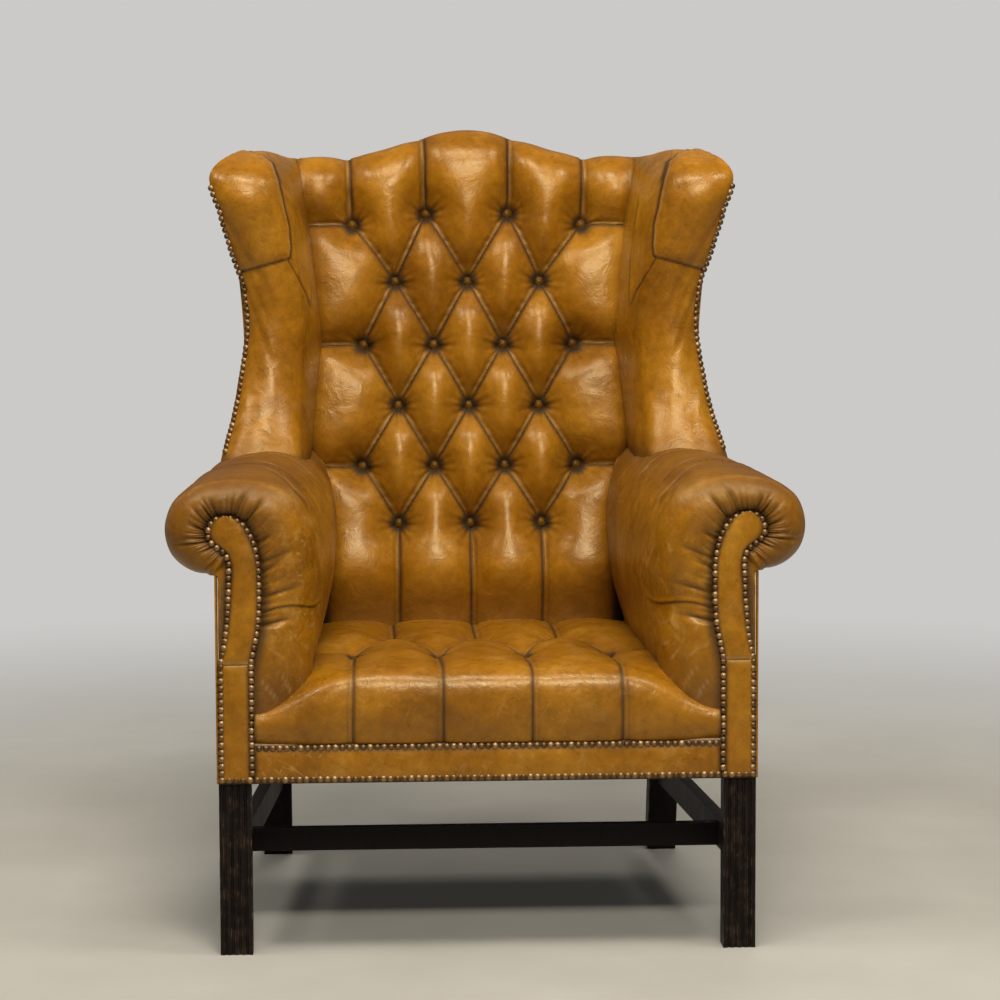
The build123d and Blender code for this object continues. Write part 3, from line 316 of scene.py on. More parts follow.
RAKE = math.radians(11)
BACK_FOOT = (588.0, 330.0)       # depth and height where the back's plane starts
BACK_HALF = 262.0
BACK_LOW = 12.0                  # lowest leather, up the back
BACK_BASE = 40.0                 # stuffing under the tufts' mean level
CREST_LOW = 766.0                # top at the wings, up the back
CREST_RISE = 41.0
CREST_HALF = 190.0
ROLL_TALL = 36.0
ROLL_DEEP = 39.0                 # in front of its middle
ROLL_REAR = 17.3                 # behind it
ROLL_SQUARE = 8.0                # power of its squarish rear
ROLL_TURN = math.radians(172)
TUFT_CROWN = 36.0
TUFT_FLOOR = -18.0               # at the buttons
PLEAT_FLOOR = 4.0                # halfway between them
CREST_CROWN = 22.0
LOINS_SINK = 26.0                # how far the back draws in towards the seat
LOINS_SWELL = 10.0               # how far it swells out above that
RIM_OUT = 4.0                    # the cover's edges, off the back's plane
RIM_END = -26.0                  # the same behind the crest
RIM_HALF = 258.0
BACK_GRID = (118, 81)            # rows and columns that the cloth swells
BACK_FINER = 3                   # how many times finer the finished leather is
BACK_ROWS = (                    # half the spread of each row of buttons and its place up the back
    ((63, 671), (176, 654)), ((0, 566), (111, 566)), ((53, 468), (161, 468)),
    ((0, 374), (108, 374)), ((54, 281), (164, 281)), ((0, 193), (109, 193)),
)


def off_back(x, up, out):
    """A point off the raked plane of the back frame."""
    y = BACK_FOOT[0] + up * math.sin(RAKE) - out * math.cos(RAKE)
    z = BACK_FOOT[1] + up * math.cos(RAKE) + out * math.sin(RAKE)
    return np.stack(np.broadcast_arrays(x, y, z), axis=-1)


def crest_top(x):
    """Top of the serpentine crest, up the back."""
    share = np.clip(np.abs(x) / CREST_HALF, 0, 1)
    return CREST_LOW + CREST_RISE * (1 + np.cos(math.pi * share)) / 2


def row_buttons(row):
    """Places of a row's buttons on both sides, from left to right."""
    return sorted({(side * x, up) for x, up in row for side in (-1, 1)})


def back_pleats():
    """Pleats of the inside back in (x, up the back)."""
    lines = []
    rows = [row_buttons(row) for row in BACK_ROWS]
    for high, low in zip(rows[:-1], rows[1:]):
        for top in high:
            for foot in low:
                if abs(top[0] - foot[0]) < 75:
                    lines.append((top, foot, TUFT_FLOOR, PLEAT_FLOOR, TUFT_FLOOR))
    for x, up in rows[0]:
        lines.append(((x, up), (x * 1.06, CREST_LOW + 200), TUFT_FLOOR, 22, 20))
    for row in (rows[0], rows[2], rows[4]):
        for x, up in (row[0], row[-1]):
            lines.append(((x, up), (math.copysign(BACK_HALF, x), up - 6), TUFT_FLOOR, 2, 2))
    for x, up in rows[5]:
        lines.append(((x, up), (x, 0), TUFT_FLOOR, 14, 17))
    return lines, [button for row in rows for button in row]


def wing_gap(up):
    """Half the width between the wings where they meet the back, at that place up the back."""
    return np.interp(up, (0, 170, 260, 320, 410, 480, 600, 725, 900),
                     (206, 208, 216, 238, 231, 224, 235, 251, 268))


def roll_rows(rows):
    """Of that many rows of points on the back, those that go over the crest."""
    return rows // 7


def flat_rows(rows):
    """Of that many rows, those below the crest."""
    return rows - roll_rows(rows)


def back_surface(rows, columns):
    """Base points of the inside back with flat places (x, run), roll turn and outward ways."""
    x = np.linspace(-BACK_HALF, BACK_HALF, columns)[None, :] * np.ones((rows, 1))
    flat, rolled = flat_rows(rows), roll_rows(rows)
    centre = crest_top(x) - CREST_CROWN - ROLL_TALL
    share = np.concatenate([np.linspace(0, 1, flat), np.ones(rolled)])[:, None]
    turn = np.concatenate([np.zeros(flat), np.linspace(0, ROLL_TURN, rolled + 1)[1:]])[:, None]
    rear = turn > math.pi / 2
    power = np.where(rear, 2 / ROLL_SQUARE, 1)
    rise = np.sin(turn) ** power
    ahead = np.sign(np.cos(turn)) * np.abs(np.cos(turn)) ** power
    up = BACK_LOW + (centre - BACK_LOW) * share + ROLL_TALL * rise
    loins = LOINS_SWELL * bell(up - 122, 46) - LOINS_SINK * ease(up, 125, 25)
    out = BACK_BASE - ROLL_DEEP + np.where(rear, ROLL_REAR, ROLL_DEEP) * ahead + loins
    run = BACK_LOW + (centre - BACK_LOW) * share + (ROLL_TALL + ROLL_DEEP) / 2 * turn
    length = np.where(rear, 1, np.hypot(rise / ROLL_TALL, ahead / ROLL_DEEP))
    way_up = np.where(rear, rise, rise / ROLL_TALL) / length
    way_out = np.where(rear, ahead, ahead / ROLL_DEEP) / length
    return x, up, out, run, way_up, way_out


def back_height(x, run, up):
    """Stuffing over the base: tufts that sink towards the wings."""
    lines, buttons = back_pleats()
    pleats = Pleats(lines, buttons, x, run)
    over = run - crest_top(x) + CREST_CROWN + ROLL_TALL
    crown = TUFT_CROWN + (CREST_CROWN - TUFT_CROWN) * ease(over, 0, 62)
    height = pleats.rise(crown, 52 - 32 * ease(run, 690, 770), 52)
    edge = wing_gap(up) + 6 - np.abs(x)
    tuck = dome(np.maximum(edge + 22, 0), 48)
    return -22 + (height + 22) * (0.25 + 0.75 * tuck), pleats, edge


def inside_back():
    """The tufted back: swollen, then with its pleats sharpened and creased."""
    x, up, out, run, way_up, way_out = back_surface(*BACK_GRID)
    height, pleats, edge = back_height(x, run, up)
    grid = off_back(x, up + way_up * height, out + way_out * height)
    held = np.maximum(bell(pleats.near, 5), bell(pleats.button, 14))
    held[:, [0, 1, -2, -1]] = 1
    held[[0, 1, -2, -1], :] = 1
    grid = finer(relaxed(swell(grid, held, False, 3.0), held, 9), BACK_FINER, False)
    x, up, out, run, way_up, way_out = back_surface(*grid.shape[:2])
    height, pleats, edge = back_height(x, run, up)
    fine = off_back(x, up + way_up * height, out + way_out * height)
    sharp = np.exp(-np.minimum(pleats.near / 7, pleats.button / 16))[..., None]
    grid = grid + (fine - grid) * sharp
    detail = (pleats.detail() + 0.7 * wrinkles(grid, 34, 1)) * (1 - ease(-way_out, 0, 0.6))
    grid = grid + grid_normals(grid, False) * detail[..., None]
    # Painted shade along the pleats, where the back tucks in beside the wings and low down towards the seat;
    # painted highlights on the pleats' flaps.
    marks = {
        "crease_shade_and_dirt": np.maximum(pleats.crease_shade_and_dirt(), 0.8 * ease(edge, 4, -10)),
        "hollow_shade_and_dirt": np.maximum.reduce([pleats.hollow_shade_and_dirt(), ease(edge, 22, -12), 0.8 * ease(run, 130, 45)]),
        "wear": 0.2 + 0.25 * ease(run, 700, 780),
        "dust_and_sheen": 0.5 * pleats.flap() * ease(run, 150, 230),
    }
    rolled = np.concatenate([np.zeros(flat_rows(len(x))), np.linspace(0, 1, roll_rows(len(x)) + 1)[1:]])
    sunk = RIM_OUT + (RIM_END - RIM_OUT) * rolled
    spot = np.minimum(up[:, 0], crest_top(BACK_HALF) - CREST_CROWN - ROLL_TALL) + 7 * rolled
    left, right = off_back(-RIM_HALF, spot, sunk), off_back(RIM_HALF, spot, sunk)
    foot = off_back(x[0], BACK_LOW - 3, RIM_OUT)
    return grid_mesh("inside_back", *with_rim(grid, marks, left, right, foot))


# Seat: tufted top, pleated front edge that falls away to the arm posts

SEAT_SIDE = [                    # (depth, height) along the middle of the seat, from the upper nails back
    (-4, 290), (-9, 305), (-13.5, 332), (-13.5, 360), (-8, 379), (6, 389), (34, 393), (110, 394),
    (230, 394), (380, 390), (552, 382),
]
SEAT_NAILS = 290.0
SEAT_RIM = 298.0                 # height of the cover's hidden edges
SEAT_LIP_HALF = 317.0
SEAT_HALF = 240.0
SEAT_FLOOR = -23.0
SEAT_DEPTHS = (215.0, 370.0)     # depths of the two rows of seat buttons
SEAT_TUFTS = (394, 390)          # heights of the seat's crown there
SEAT_GRID = (81, 85)             # rows and columns that the cloth swells
SEAT_FINER = 3
SEAT_FRONT_BUTTONS = (-180, -60, 60, 180)
SEAT_REAR_BUTTONS = (-120, 0, 120)


def seat_pleats(run_at):
    """Pleats of the seat in (x, run from the nails); run_at gives the run at a depth."""
    near, far = run_at(SEAT_DEPTHS[0]), run_at(SEAT_DEPTHS[1])
    lines = []
    for x in SEAT_FRONT_BUTTONS:
        lines.append(((x * 1.02, -20), (x, near), -3, -7, SEAT_FLOOR))
        for foot in SEAT_REAR_BUTTONS:
            if abs(x - foot) < 75:
                lines.append(((x, near), (foot, far), SEAT_FLOOR, -13, SEAT_FLOOR))
    for x in SEAT_REAR_BUTTONS:
        lines.append(((x, far), (x, far + 260), SEAT_FLOOR, -12, -10))
    for side in (-1, 1):
        lines.append(((side * 180, near), (side * 250, near + 6), SEAT_FLOOR, -12, -12))
    buttons = [(x, near) for x in SEAT_FRONT_BUTTONS] + [(x, far) for x in SEAT_REAR_BUTTONS]
    return lines, buttons


def seat_surface(rows, columns):
    """Base points of the seat, with their flat places."""
    side = even_curve(SEAT_SIDE, rows)
    run = np.concatenate([[0], np.cumsum(np.linalg.norm(np.diff(side, axis=0), axis=1))])
    depth, height = side[:, :1], side[:, 1:]
    share = np.linspace(-1, 1, columns)[None, :]
    half = SEAT_LIP_HALF - (SEAT_LIP_HALF - SEAT_HALF) * ease(depth, -6, 62)
    x = share * half
    corner = ease(np.abs(x), 185, 318) ** 0.9
    edge = ease(np.abs(share) * SEAT_HALF, SEAT_HALF - 55, SEAT_HALF)
    low = 0.47 + 0.46 * ease(depth, 0, 64)
    keep = 1 - (1 - low) * np.maximum(corner * (1 - ease(depth, 40, 90)), edge * ease(depth, 10, 60))
    z = SEAT_NAILS + (height - SEAT_NAILS) * keep
    y = depth + 5 * corner * (1 - ease(depth, 0, 40))
    grid = np.stack(np.broadcast_arrays(x, y, z), axis=-1)

    def run_at(place):
        return float(np.interp(place, side[run > 130][:, 0], run[run > 130]))
    return grid, x, run[:, None] * np.ones((1, columns)), run_at


def seat_height(x, run, run_at):
    """Stuffing over the seat's base, and its pleats."""
    lines, buttons = seat_pleats(run_at)
    pleats = Pleats(lines, buttons, x, run)
    reach = 22 + 38 * ease(run, 110, 220)
    return pleats.rise(0, reach, 60), pleats


def seat():
    """The tufted seat: swollen, then with its pleats sharpened and creased."""
    grid, x, run, run_at = seat_surface(*SEAT_GRID)
    height, pleats = seat_height(x, run, run_at)
    grid = grid + grid_normals(grid, False) * height[..., None]
    held = np.maximum(bell(pleats.near, 4), bell(pleats.button, 14))
    held[:, [0, 1, -2, -1]] = 1
    held[[0, 1, -2, -1], :] = 1
    grid = finer(relaxed(swell(grid, held, False, 2.0), held, 8), SEAT_FINER, False)
    base, x, run, run_at = seat_surface(*grid.shape[:2])
    height, pleats = seat_height(x, run, run_at)
    fine = base + grid_normals(base, False) * height[..., None]
    sharp = np.exp(-np.minimum(pleats.near / 7, pleats.button / 16))[..., None]
    grid = grid + (fine - grid) * sharp
    grid = grid + grid_normals(grid, False) * (0.8 * pleats.detail() + 1.2 * wrinkles(grid, 46, 2))[..., None]
    front = 1 - ease(run, 90, 150)
    rim = np.minimum(np.linspace(0, 1, grid.shape[1]), np.linspace(1, 0, grid.shape[1]))[None, :]
    # Painted shade at the sides beside the arms and along the rims and pleats; painted highlights on the
    # pleats' flaps.
    side_shade = 0.8 * (1 - ease(rim, 0, 0.06)) * (1 - front)
    marks = {
        "crease_shade_and_dirt": np.maximum(pleats.crease_shade_and_dirt(), 0.7 * (1 - ease(rim, 0, 0.012))),
        "hollow_shade_and_dirt": np.maximum(pleats.hollow_shade_and_dirt() * (1 - 0.5 * front), side_shade),
        "wear": 0.35 + 0.5 * bell(run - 112, 34),
        "dust_and_sheen": 0.12 * pleats.flap(),
    }
    low = np.array([1, 1, 0])
    under = np.array([0, 0, SEAT_RIM])
    left, right, rear = (edge * low + under for edge in (grid[:, 0], grid[:, -1], grid[-1]))
    front_rim = grid[0] * np.array([1, 0, 1]) + np.array([0, 3, -1])
    return grid_mesh("seat", *with_rim(grid, marks, left, right, front_rim, rear))


# Arms: inside arm and scroll roll, gathered round the nailed front panel

FRAME_OUT = 366.0                # outer face of the side frame at the front
FRAME_SLOPE = (366.0 - 322.0) / (588.0 - 44.0)
ARM_END = 676.0
ARM_BEHIND = 33.0                # end of the arm behind the back's plane
ARM_UNDER = 512.0                # below this, the cover stays inside the frame's outer face
ARM_SECTION = [                  # (x, height, share of the inner swell, share of the frame's taper)
    (240, 318, 0, 0), (237, 395, 0.3, 0), (232, 463, 0.8, 0), (231, 530, 1, 0), (236, 590, 1, 0),
    (258, 630, 0.8, 0.2), (300, 648, 0.4, 0.7), (345, 652, 0, 1), (390, 643, 0, 1), (425, 618, 0, 1),
    (435, 582, 0, 1), (427, 549, 0, 1), (405, 527, 0, 1), (382, 520, 0, 1), (366, 521, 0, 1),
    (364, 495, 0, 1), (364, 440, 0, 1), (364, 345, 0, 1), (364, 325, 0, 1), (361, 317, 0, 1),
    (352, 314, 0, 1), (300, 314, 0, 0.5), (250, 314, 0, 0),
]
SCROLL_LINE = [                  # the nailed outline of the front panel, point for point
    (320, 318), (320, 395), (309, 450), (307, 505), (309, 545),
    (317, 575), (330, 594), (350, 603), (367, 600), (377, 588),
    (378, 577), (373, 568), (362, 560), (353, 552), (348, 541),
    (350, 495), (354, 440), (361, 345), (362, 325), (360, 317), (352, 314), (342, 314), (324, 314),
]
ARM_STEPS = (6, 16, 16, 10, 12, 12, 14, 12, 12, 12, 10, 10, 10, 8, 6, 6, 6, 3, 3, 3, 6, 5)
ARM_FRONT_ROWS = 24
ARM_ROWS = 84
ARM_FINER = 2
ARM_LIFT = 2.2                   # cover in front of the arm post
ARM_SWELL = 24.0                 # how far the inside arm swells towards the sitter
CROSS_SEAM = 470.0               # height of the seam across the inside arm's front
LAP_SEAM = 185.0                 # depth of the lapped seam over the arm
ARM_FLAT = 14                    # from this point of the section on, the cover lies flat on the outer frame
GATHERS = (                      # sets of folds: how many, then their length, width in columns and depth
    (16, (34, 78), (0.8, 1.4), (2.0, 4.2)),
    (64, (14, 52), (0.4, 0.8), (0.8, 2.1)),
)


def frame_taper(depth):
    """How far the side frame draws in behind its front, at that depth."""
    return FRAME_SLOPE * np.clip(depth - 44, 0, 588 - 44)


def rounded_edge(reach, gap, square, rows):
    """Even steps round a squarish edge: shares of the way out over gap, and depths up to reach."""
    turn = np.linspace(0, math.pi / 2, 121)
    grown = np.sin(turn) ** (2 / square)
    depth = reach * (1 - np.cos(turn) ** (2 / square))
    run = np.concatenate([[0], np.cumsum(np.hypot(np.diff(grown) * gap, np.diff(depth)))])
    spots = np.linspace(0, run[-1], rows + 1)[:-1]
    return np.interp(spots, run, grown), np.interp(spots, run, depth)


def arm_grid(front_rows, long_rows, steps):
    """Points of the arm: rows that round the front edge, then run back along the arm."""
    section = span_curve(ARM_SECTION, steps)
    scroll = span_curve(SCROLL_LINE, steps)
    x, z, inner, outer = section.T
    x = np.where(z < ARM_UNDER, np.minimum(x, FRAME_OUT - 2), x)
    knots = np.concatenate([[0], np.cumsum(steps)])
    flat = ease(np.arange(len(x)), knots[ARM_FLAT - 1], knots[ARM_FLAT])
    high = ease(z, 440, 600)
    reach = (60 - 24 * high) * (1 - flat) + 7 * flat
    square = (2.1 + 0.7 * high) * (1 - flat) + 9 * flat
    bulge = (6 + 8 * high) * ease(z, 330, 420) * (1 - flat)
    gap = np.hypot(x - scroll[:, 0], z - scroll[:, 1])
    edges = [rounded_edge(*sizes, front_rows) for sizes in zip(reach, gap, square)]
    share = np.linspace(0, 1, long_rows)[:, None] ** 1.2
    end = np.minimum(ARM_END, BACK_FOOT[0] + ARM_BEHIND + (z - BACK_FOOT[1]) * math.tan(RAKE))
    grown = np.concatenate([np.stack([edge[0] for edge in edges], axis=1), np.ones((long_rows, len(x)))])
    depth = np.concatenate([np.stack([edge[1] for edge in edges], axis=1), reach + (end - reach) * share])
    depth = depth - ARM_LIFT - bulge * (4 * grown * (1 - grown)) ** 0.8
    full_x = x - ARM_SWELL * ease(depth, 60, 380) * inner - frame_taper(depth) * outer
    grid_x = scroll[:, 0] + (full_x - scroll[:, 0]) * grown
    grid_z = scroll[:, 1] + (z - scroll[:, 1]) * grown
    return np.stack([grid_x, depth, grid_z], axis=-1)


def gather_field(columns, first, last, away):
    """Valleys of the gathered leather round the scroll, with painted shade in them: uneven folds that fade
    away from the nails.
    """
    draw = np.random.default_rng(11)
    depth = np.zeros(np.broadcast_shapes(columns.shape, away.shape))
    dark = np.zeros_like(depth)
    for count, lengths, widths, depths in GATHERS:
        places = first + (last - first) * (np.arange(count) + draw.uniform(0, 1, count)) / count
        for place in places:
            long, wide, deep = (draw.uniform(*span) for span in (lengths, widths, depths))
            middle = columns - place - draw.uniform(-0.06, 0.06) * away
            fade = 1 - ease(away, 0.35 * long, long)
            depth -= deep * bell(middle, wide * (0.7 + away / 60)) * fade
            dark = np.maximum(dark, min(1, 0.24 * deep) * bell(middle, 0.55 * wide) * fade)
    return depth, dark


def seam_profile(distance, wide=3.2):
    """A lapped seam: a fine groove with a raised edge on its positive side. Heights, then painted shade in the
    groove.
    """
    height = 1.5 * bell(distance - wide, wide) - 1.7 * bell(distance, 1.3)
    return height, 0.8 * bell(distance, 1.5)


def arm():
    """Points and marks of the right arm: swollen, then gathered, seamed and wrinkled."""
    grid = arm_grid(ARM_FRONT_ROWS, ARM_ROWS, ARM_STEPS)
    knots = np.concatenate([[0], np.cumsum(ARM_STEPS)])
    held = np.zeros(grid.shape[:2])
    held[:3] = 1
    held[-2:] = 1
    held[:, knots[ARM_FLAT]:] = 1
    held[:, :6] = 1
    grid = finer(swell(grid, held, True, 1.6), ARM_FINER, True)
    column = np.arange(grid.shape[1])[None, :] / ARM_FINER
    row = np.arange(grid.shape[0])[:, None] / ARM_FINER
    steps = np.linalg.norm(np.diff(grid, axis=0), axis=2)
    away = np.concatenate([np.zeros((1, grid.shape[1])), np.cumsum(steps, axis=0)])
    depth, height = grid[..., 1], grid[..., 2]
    gather, gather_dark = gather_field(column, knots[2], knots[13], away)
    inner = (column < knots[5]) * ease(depth, 130, 70)
    arch = CROSS_SEAM + 9 * np.sin(np.clip((grid[..., 0] - 228) / 80, 0, 1) * math.pi)
    cross, cross_dark = seam_profile(height - arch)
    pinch = -3.5 * bell(height - arch, 26) * inner
    over = ease(column, knots[4], knots[5]) * (1 - ease(column, knots[8], knots[9]))
    lap, lap_dark = seam_profile(depth - LAP_SEAM - 40 * np.sin((column - knots[6]) * 0.03))
    soft = 1.8 * wrinkles(grid, 60, 3) + 0.8 * wrinkles(grid, 22, 4)
    ripple = np.sin((depth - 0.5 * grid[..., 0]) / 23 + 3 * wrinkles(grid, 90, 5))
    folds = bell(ripple, 0.25) * ease(wrinkles(grid, 75, 9), -0.1, 0.3)
    folds = folds * ease(column, knots[3], knots[5]) * (1 - ease(column, knots[7], knots[9]))
    folds = folds * ease(depth, 70, 130)
    change = gather + cross * inner + pinch + 0.8 * lap * over + soft * ease(depth, 2, 30) - 1.6 * folds
    change = change * (1 - ease(column, knots[ARM_FLAT - 1], knots[ARM_FLAT]))
    grid = grid + grid_normals(grid, True) * change[..., None]
    # Painted shade by the nails, in the gathers' valleys, the seams' grooves and the folds, low down by the
    # seat and at the rear by the back; the arm's top is darker with dirt.
    near_nails = 1 - ease(away, 3, 20)
    gathered = ease(column, knots[3], knots[5]) * (1 - ease(column, knots[12], knots[13]))
    gathered = gathered * (1 - ease(away, 25, 75))
    # A painted highlight along the front edge of the roll's top, where the leather is also rubbed pale.
    brow_sheen_and_wear = bell(row - 0.74 * ARM_FRONT_ROWS, 1.3) * ease(height, 580, 640) * (column < knots[10])
    strokes = np.sin((height - 1.2 * grid[..., 0]) / 5 + 6 * wrinkles(grid, 70, 12))
    streaks = bell(strokes - 1, 0.12) * ease(wrinkles(grid, 34, 13), -0.1, 0.25) * ease(height, 468, 452)
    streaks = streaks * (column < knots[5]) * ease(depth, 110, 60) * ease(away, 6, 20)
    # The pale mark holds painted highlights on the folds' ridges and along the roll's edge, and pale scratch
    # streaks.
    marks = {
        "crease_shade_and_dirt": np.maximum.reduce([gather_dark, cross_dark * inner, 0.7 * lap_dark * over, 0.55 * folds,
                                     0.7 * near_nails]),
        "hollow_shade_and_dirt": np.maximum.reduce([0.8 * near_nails, ease(height, 420, 340), 0.6 * ease(depth, 300, 420),
                                     0.75 * gathered, ease(height, 590, 640) * (1 - 0.3 * brow_sheen_and_wear)]),
        "wear": np.clip(0.45 + 0.55 * ease(depth, 200, 30) + 0.6 * brow_sheen_and_wear, 0, 1),
        "dust_and_sheen": np.maximum.reduce([0.1 * brow_sheen_and_wear, 0.4 * np.roll(folds, 2, axis=0), 0.8 * streaks]),
    }
    return grid, marks


# Wings: front roll, inside face and rounded top

WING_FOOT = 596.0
WING_TOP = 1092.0
WING_THUMB = 92.0                # height of the rounded top, as seen from the side
WING_LEAN = 100.0                # how far it runs back
WING_SHOULDER = 52.0             # height of its rounded outer edge, as seen from the front
WING_INSET = 70.0                # how far that edge draws in
WING_BEHIND = 38.5               # rear end behind the back's plane
WING_STOP = 322.0                # outer edge at the rear
WING_SWELL = 6.0                 # the top part's stuffing above the lower part's
WING_CROSS = (380.0, 905.0)      # outer end of the seam under the top part: x and height
WING_CROSS_SLOPE = 0.273         # how much that seam rises inwards
WING_ROWS = 84
WING_TOP_ROWS = 24
WING_NAIL_COLUMN = 112           # column of points that the nails follow
WING_SEAM = (                    # (height, x) of the seam beside the top part, over its top
    (925, 271), (950, 268), (980, 271), (1017, 279), (1047, 286), (1073, 295), (1085, 310), (1090, 331),
    (1096, 350),
)
WING_TUCK = ((850, 240), (880, 247), (905, 258), (929, 271))     # the same beside the lower part
WING_LINE = [                    # height, then what wing_plan() gives there
    (560, 386, 252, 342, 252), (600, 380, 251, 371, 250), (640, 372, 250, 402, 245),
    (706, 356, 250, 454, 236), (783, 341, 246, 486, 226), (823, 337, 245, 490, 224),
    (895, 343, 249, 486, 231), (941, 353, 255, 479, 238), (990, 366, 268, 468, 245),
    (1036, 381, 281, 454, 250), (1049, 386, 284, 450, 251), (1096, 388, 292, 448, 254),
]
WING_STEPS = (26, 18, 12, 14, 16, 14, 24, 10, 10)
WING_FINER = 2


def wing_plan(height):
    """Outer edge, inner edge, depth of the outer corner and inner edge at the back, at that height."""
    smooth = span_curve(WING_LINE, [24] * (len(WING_LINE) - 1))
    return [float(np.interp(height, smooth[:, 0], smooth[:, axis])) for axis in range(1, 5)]


def wing_grid(rows, top_rows):
    """Rows of points round the wing at rising heights, drawn in over its rounded top."""
    turn = np.linspace(0, math.radians(86), top_rows + 1)[1:]
    start = WING_TOP - WING_THUMB
    heights = np.concatenate([np.linspace(WING_FOOT, start, rows), start + WING_THUMB * np.sin(turn)])
    rounds = np.concatenate([np.zeros(rows), 1 - np.cos(turn)])
    lines = []
    for height, drawn in zip(heights, rounds):
        outer, inner, corner, rear = wing_plan(height)
        back = BACK_FOOT[0] + (height - BACK_FOOT[1]) * math.tan(RAKE)
        shoulder = max((height - WING_TOP + WING_SHOULDER) / WING_SHOULDER, 0)
        inset = WING_INSET * (1 - math.sqrt(1 - shoulder * shoulder))
        inner = inner + 0.3 * inset
        outer = max(outer + 1 - inset, inner + 4)
        middle = (outer + inner) / 2
        lean = WING_LEAN * drawn
        ahead = corner + lean
        corner = (corner - 2 + 0.25 * lean) * (1 - drawn) + (ahead + 4) * drawn
        stop = WING_STOP - 0.1 * inset
        rear = min(rear + 0.23 * inset, stop - 4)
        full = 1 - drawn
        points = [
            (rear, back + WING_BEHIND),
            (rear - 2 * full, back - 12),
            ((rear + inner) / 2 - 5 * full, (back + corner) / 2 + 4),
            (inner, ahead + 22),
            (inner + 8 * full, ahead - 10 * full),
            (middle, ahead - 36 * full),
            (outer - 12 * full, ahead - 26 * full),
            (outer, corner),
            ((outer + stop) / 2 - 3 * full, (corner + back) / 2),
            (stop, back + WING_BEHIND),
        ]
        line = span_curve(points[:8], WING_STEPS[:7])
        outside = span_curve(points[7:], WING_STEPS[7:])
        plan = np.concatenate([line, outside[1:]])
        drop = 12 * ease(plan[:, 1], 560, 700) * drawn
        lines.append(np.column_stack([plan, height - drop]))
    return np.stack(lines)


def wing():
    """Points and marks of the right wing: swollen, then seamed and wrinkled."""
    grid = wing_grid(WING_ROWS, WING_TOP_ROWS)
    held = np.zeros(grid.shape[:2])
    held[[0, 1, -2, -1], :] = 1
    inner_end, roll_start, roll_end = sum(WING_STEPS[:2]), sum(WING_STEPS[:3]), sum(WING_STEPS[:7])
    held[:, roll_end - 2:] = 1
    held[:, :3] = 1
    grid = finer(swell(grid, held, True, 1.6), WING_FINER, True)
    column = np.arange(grid.shape[1])[None, :] / WING_FINER
    x, height = grid[..., 0], grid[..., 2]
    front = ease(column, inner_end + 2, roll_start - 4) * ease(column, roll_end - 3, roll_end - 14)
    slant = WING_CROSS[1] + WING_CROSS_SLOPE * (WING_CROSS[0] - x)
    seam_x = np.interp(height, *zip(*WING_SEAM))
    into_top = np.minimum(x - seam_x, 0.95 * (height - slant))
    top_part = dome(np.maximum(into_top, 0), 30) * front
    tuck, tuck_dark = seam_profile(x - np.interp(height, *zip(*WING_TUCK)))
    lower = front * ease(height, 850, 870) * (height < slant)
    inside_seam, inside_dark = seam_profile((column - inner_end - 4) * 2.6 + 0.12 * (height - 950))
    inside_part = ease(height, 850, 880) * (1 - ease(height, 1000, 1030)) * (column < sum(WING_STEPS[:4]))
    soft = 1.6 * wrinkles(grid, 70, 6) + 0.7 * wrinkles(grid, 24, 7)
    soft = soft * ease(column, 3, 24) * ease(column, roll_end + 12, roll_end)
    lifts = WING_SWELL * top_part + tuck * lower + inside_seam * inside_part + soft
    grid = grid + grid_normals(grid, True) * lifts[..., None]
    back = BACK_FOOT[0] + (height - BACK_FOOT[1]) * math.tan(RAKE)
    grid[..., 1] = np.minimum(grid[..., 1], back + WING_BEHIND)
    inside = (column < roll_start) * ease(back - grid[..., 1], 95, 30)
    # Painted shadow under the top part's lip and in the seams' grooves, painted shade inside by the back,
    # darker towards the foot; a painted highlight on the lip, and dust on the top.
    marks = {
        "crease_shade_and_dirt": np.maximum.reduce([0.9 * bell(into_top + 1.2, 2.0) * front, tuck_dark * lower,
                                     inside_dark * inside_part, 0.4 * ease(height, 656, 642)]),
        "hollow_shade_and_dirt": np.maximum(0.8 * inside, 0.4 * ease(height, 690, 645)),
        "wear": 0.25 + 0.5 * ease(height, 1010, 1080),
        "dust_and_sheen": np.maximum(0.2 * ease(height, 1060, 1090), 0.6 * bell(into_top - 3, 1.8) * front),
    }
    return grid, marks


# Nailed panels on the front

PANEL_LIFT = 3.0                 # panel edges in front of the frame
PANEL_CROWN = 7.5
POST_CROWN = 6.0
BORDER_CROWN = 5.5
PANEL_LAP = 6.0                  # fullness left where two panels meet, as a distance from an edge
SEAM_HEIGHT = 401.0
POST_EDGES = ((320.0, 365.0), (237.0, 401.0))
BORDER_HALF = 320.0
BORDER_EDGES = (237.0, 289.0)


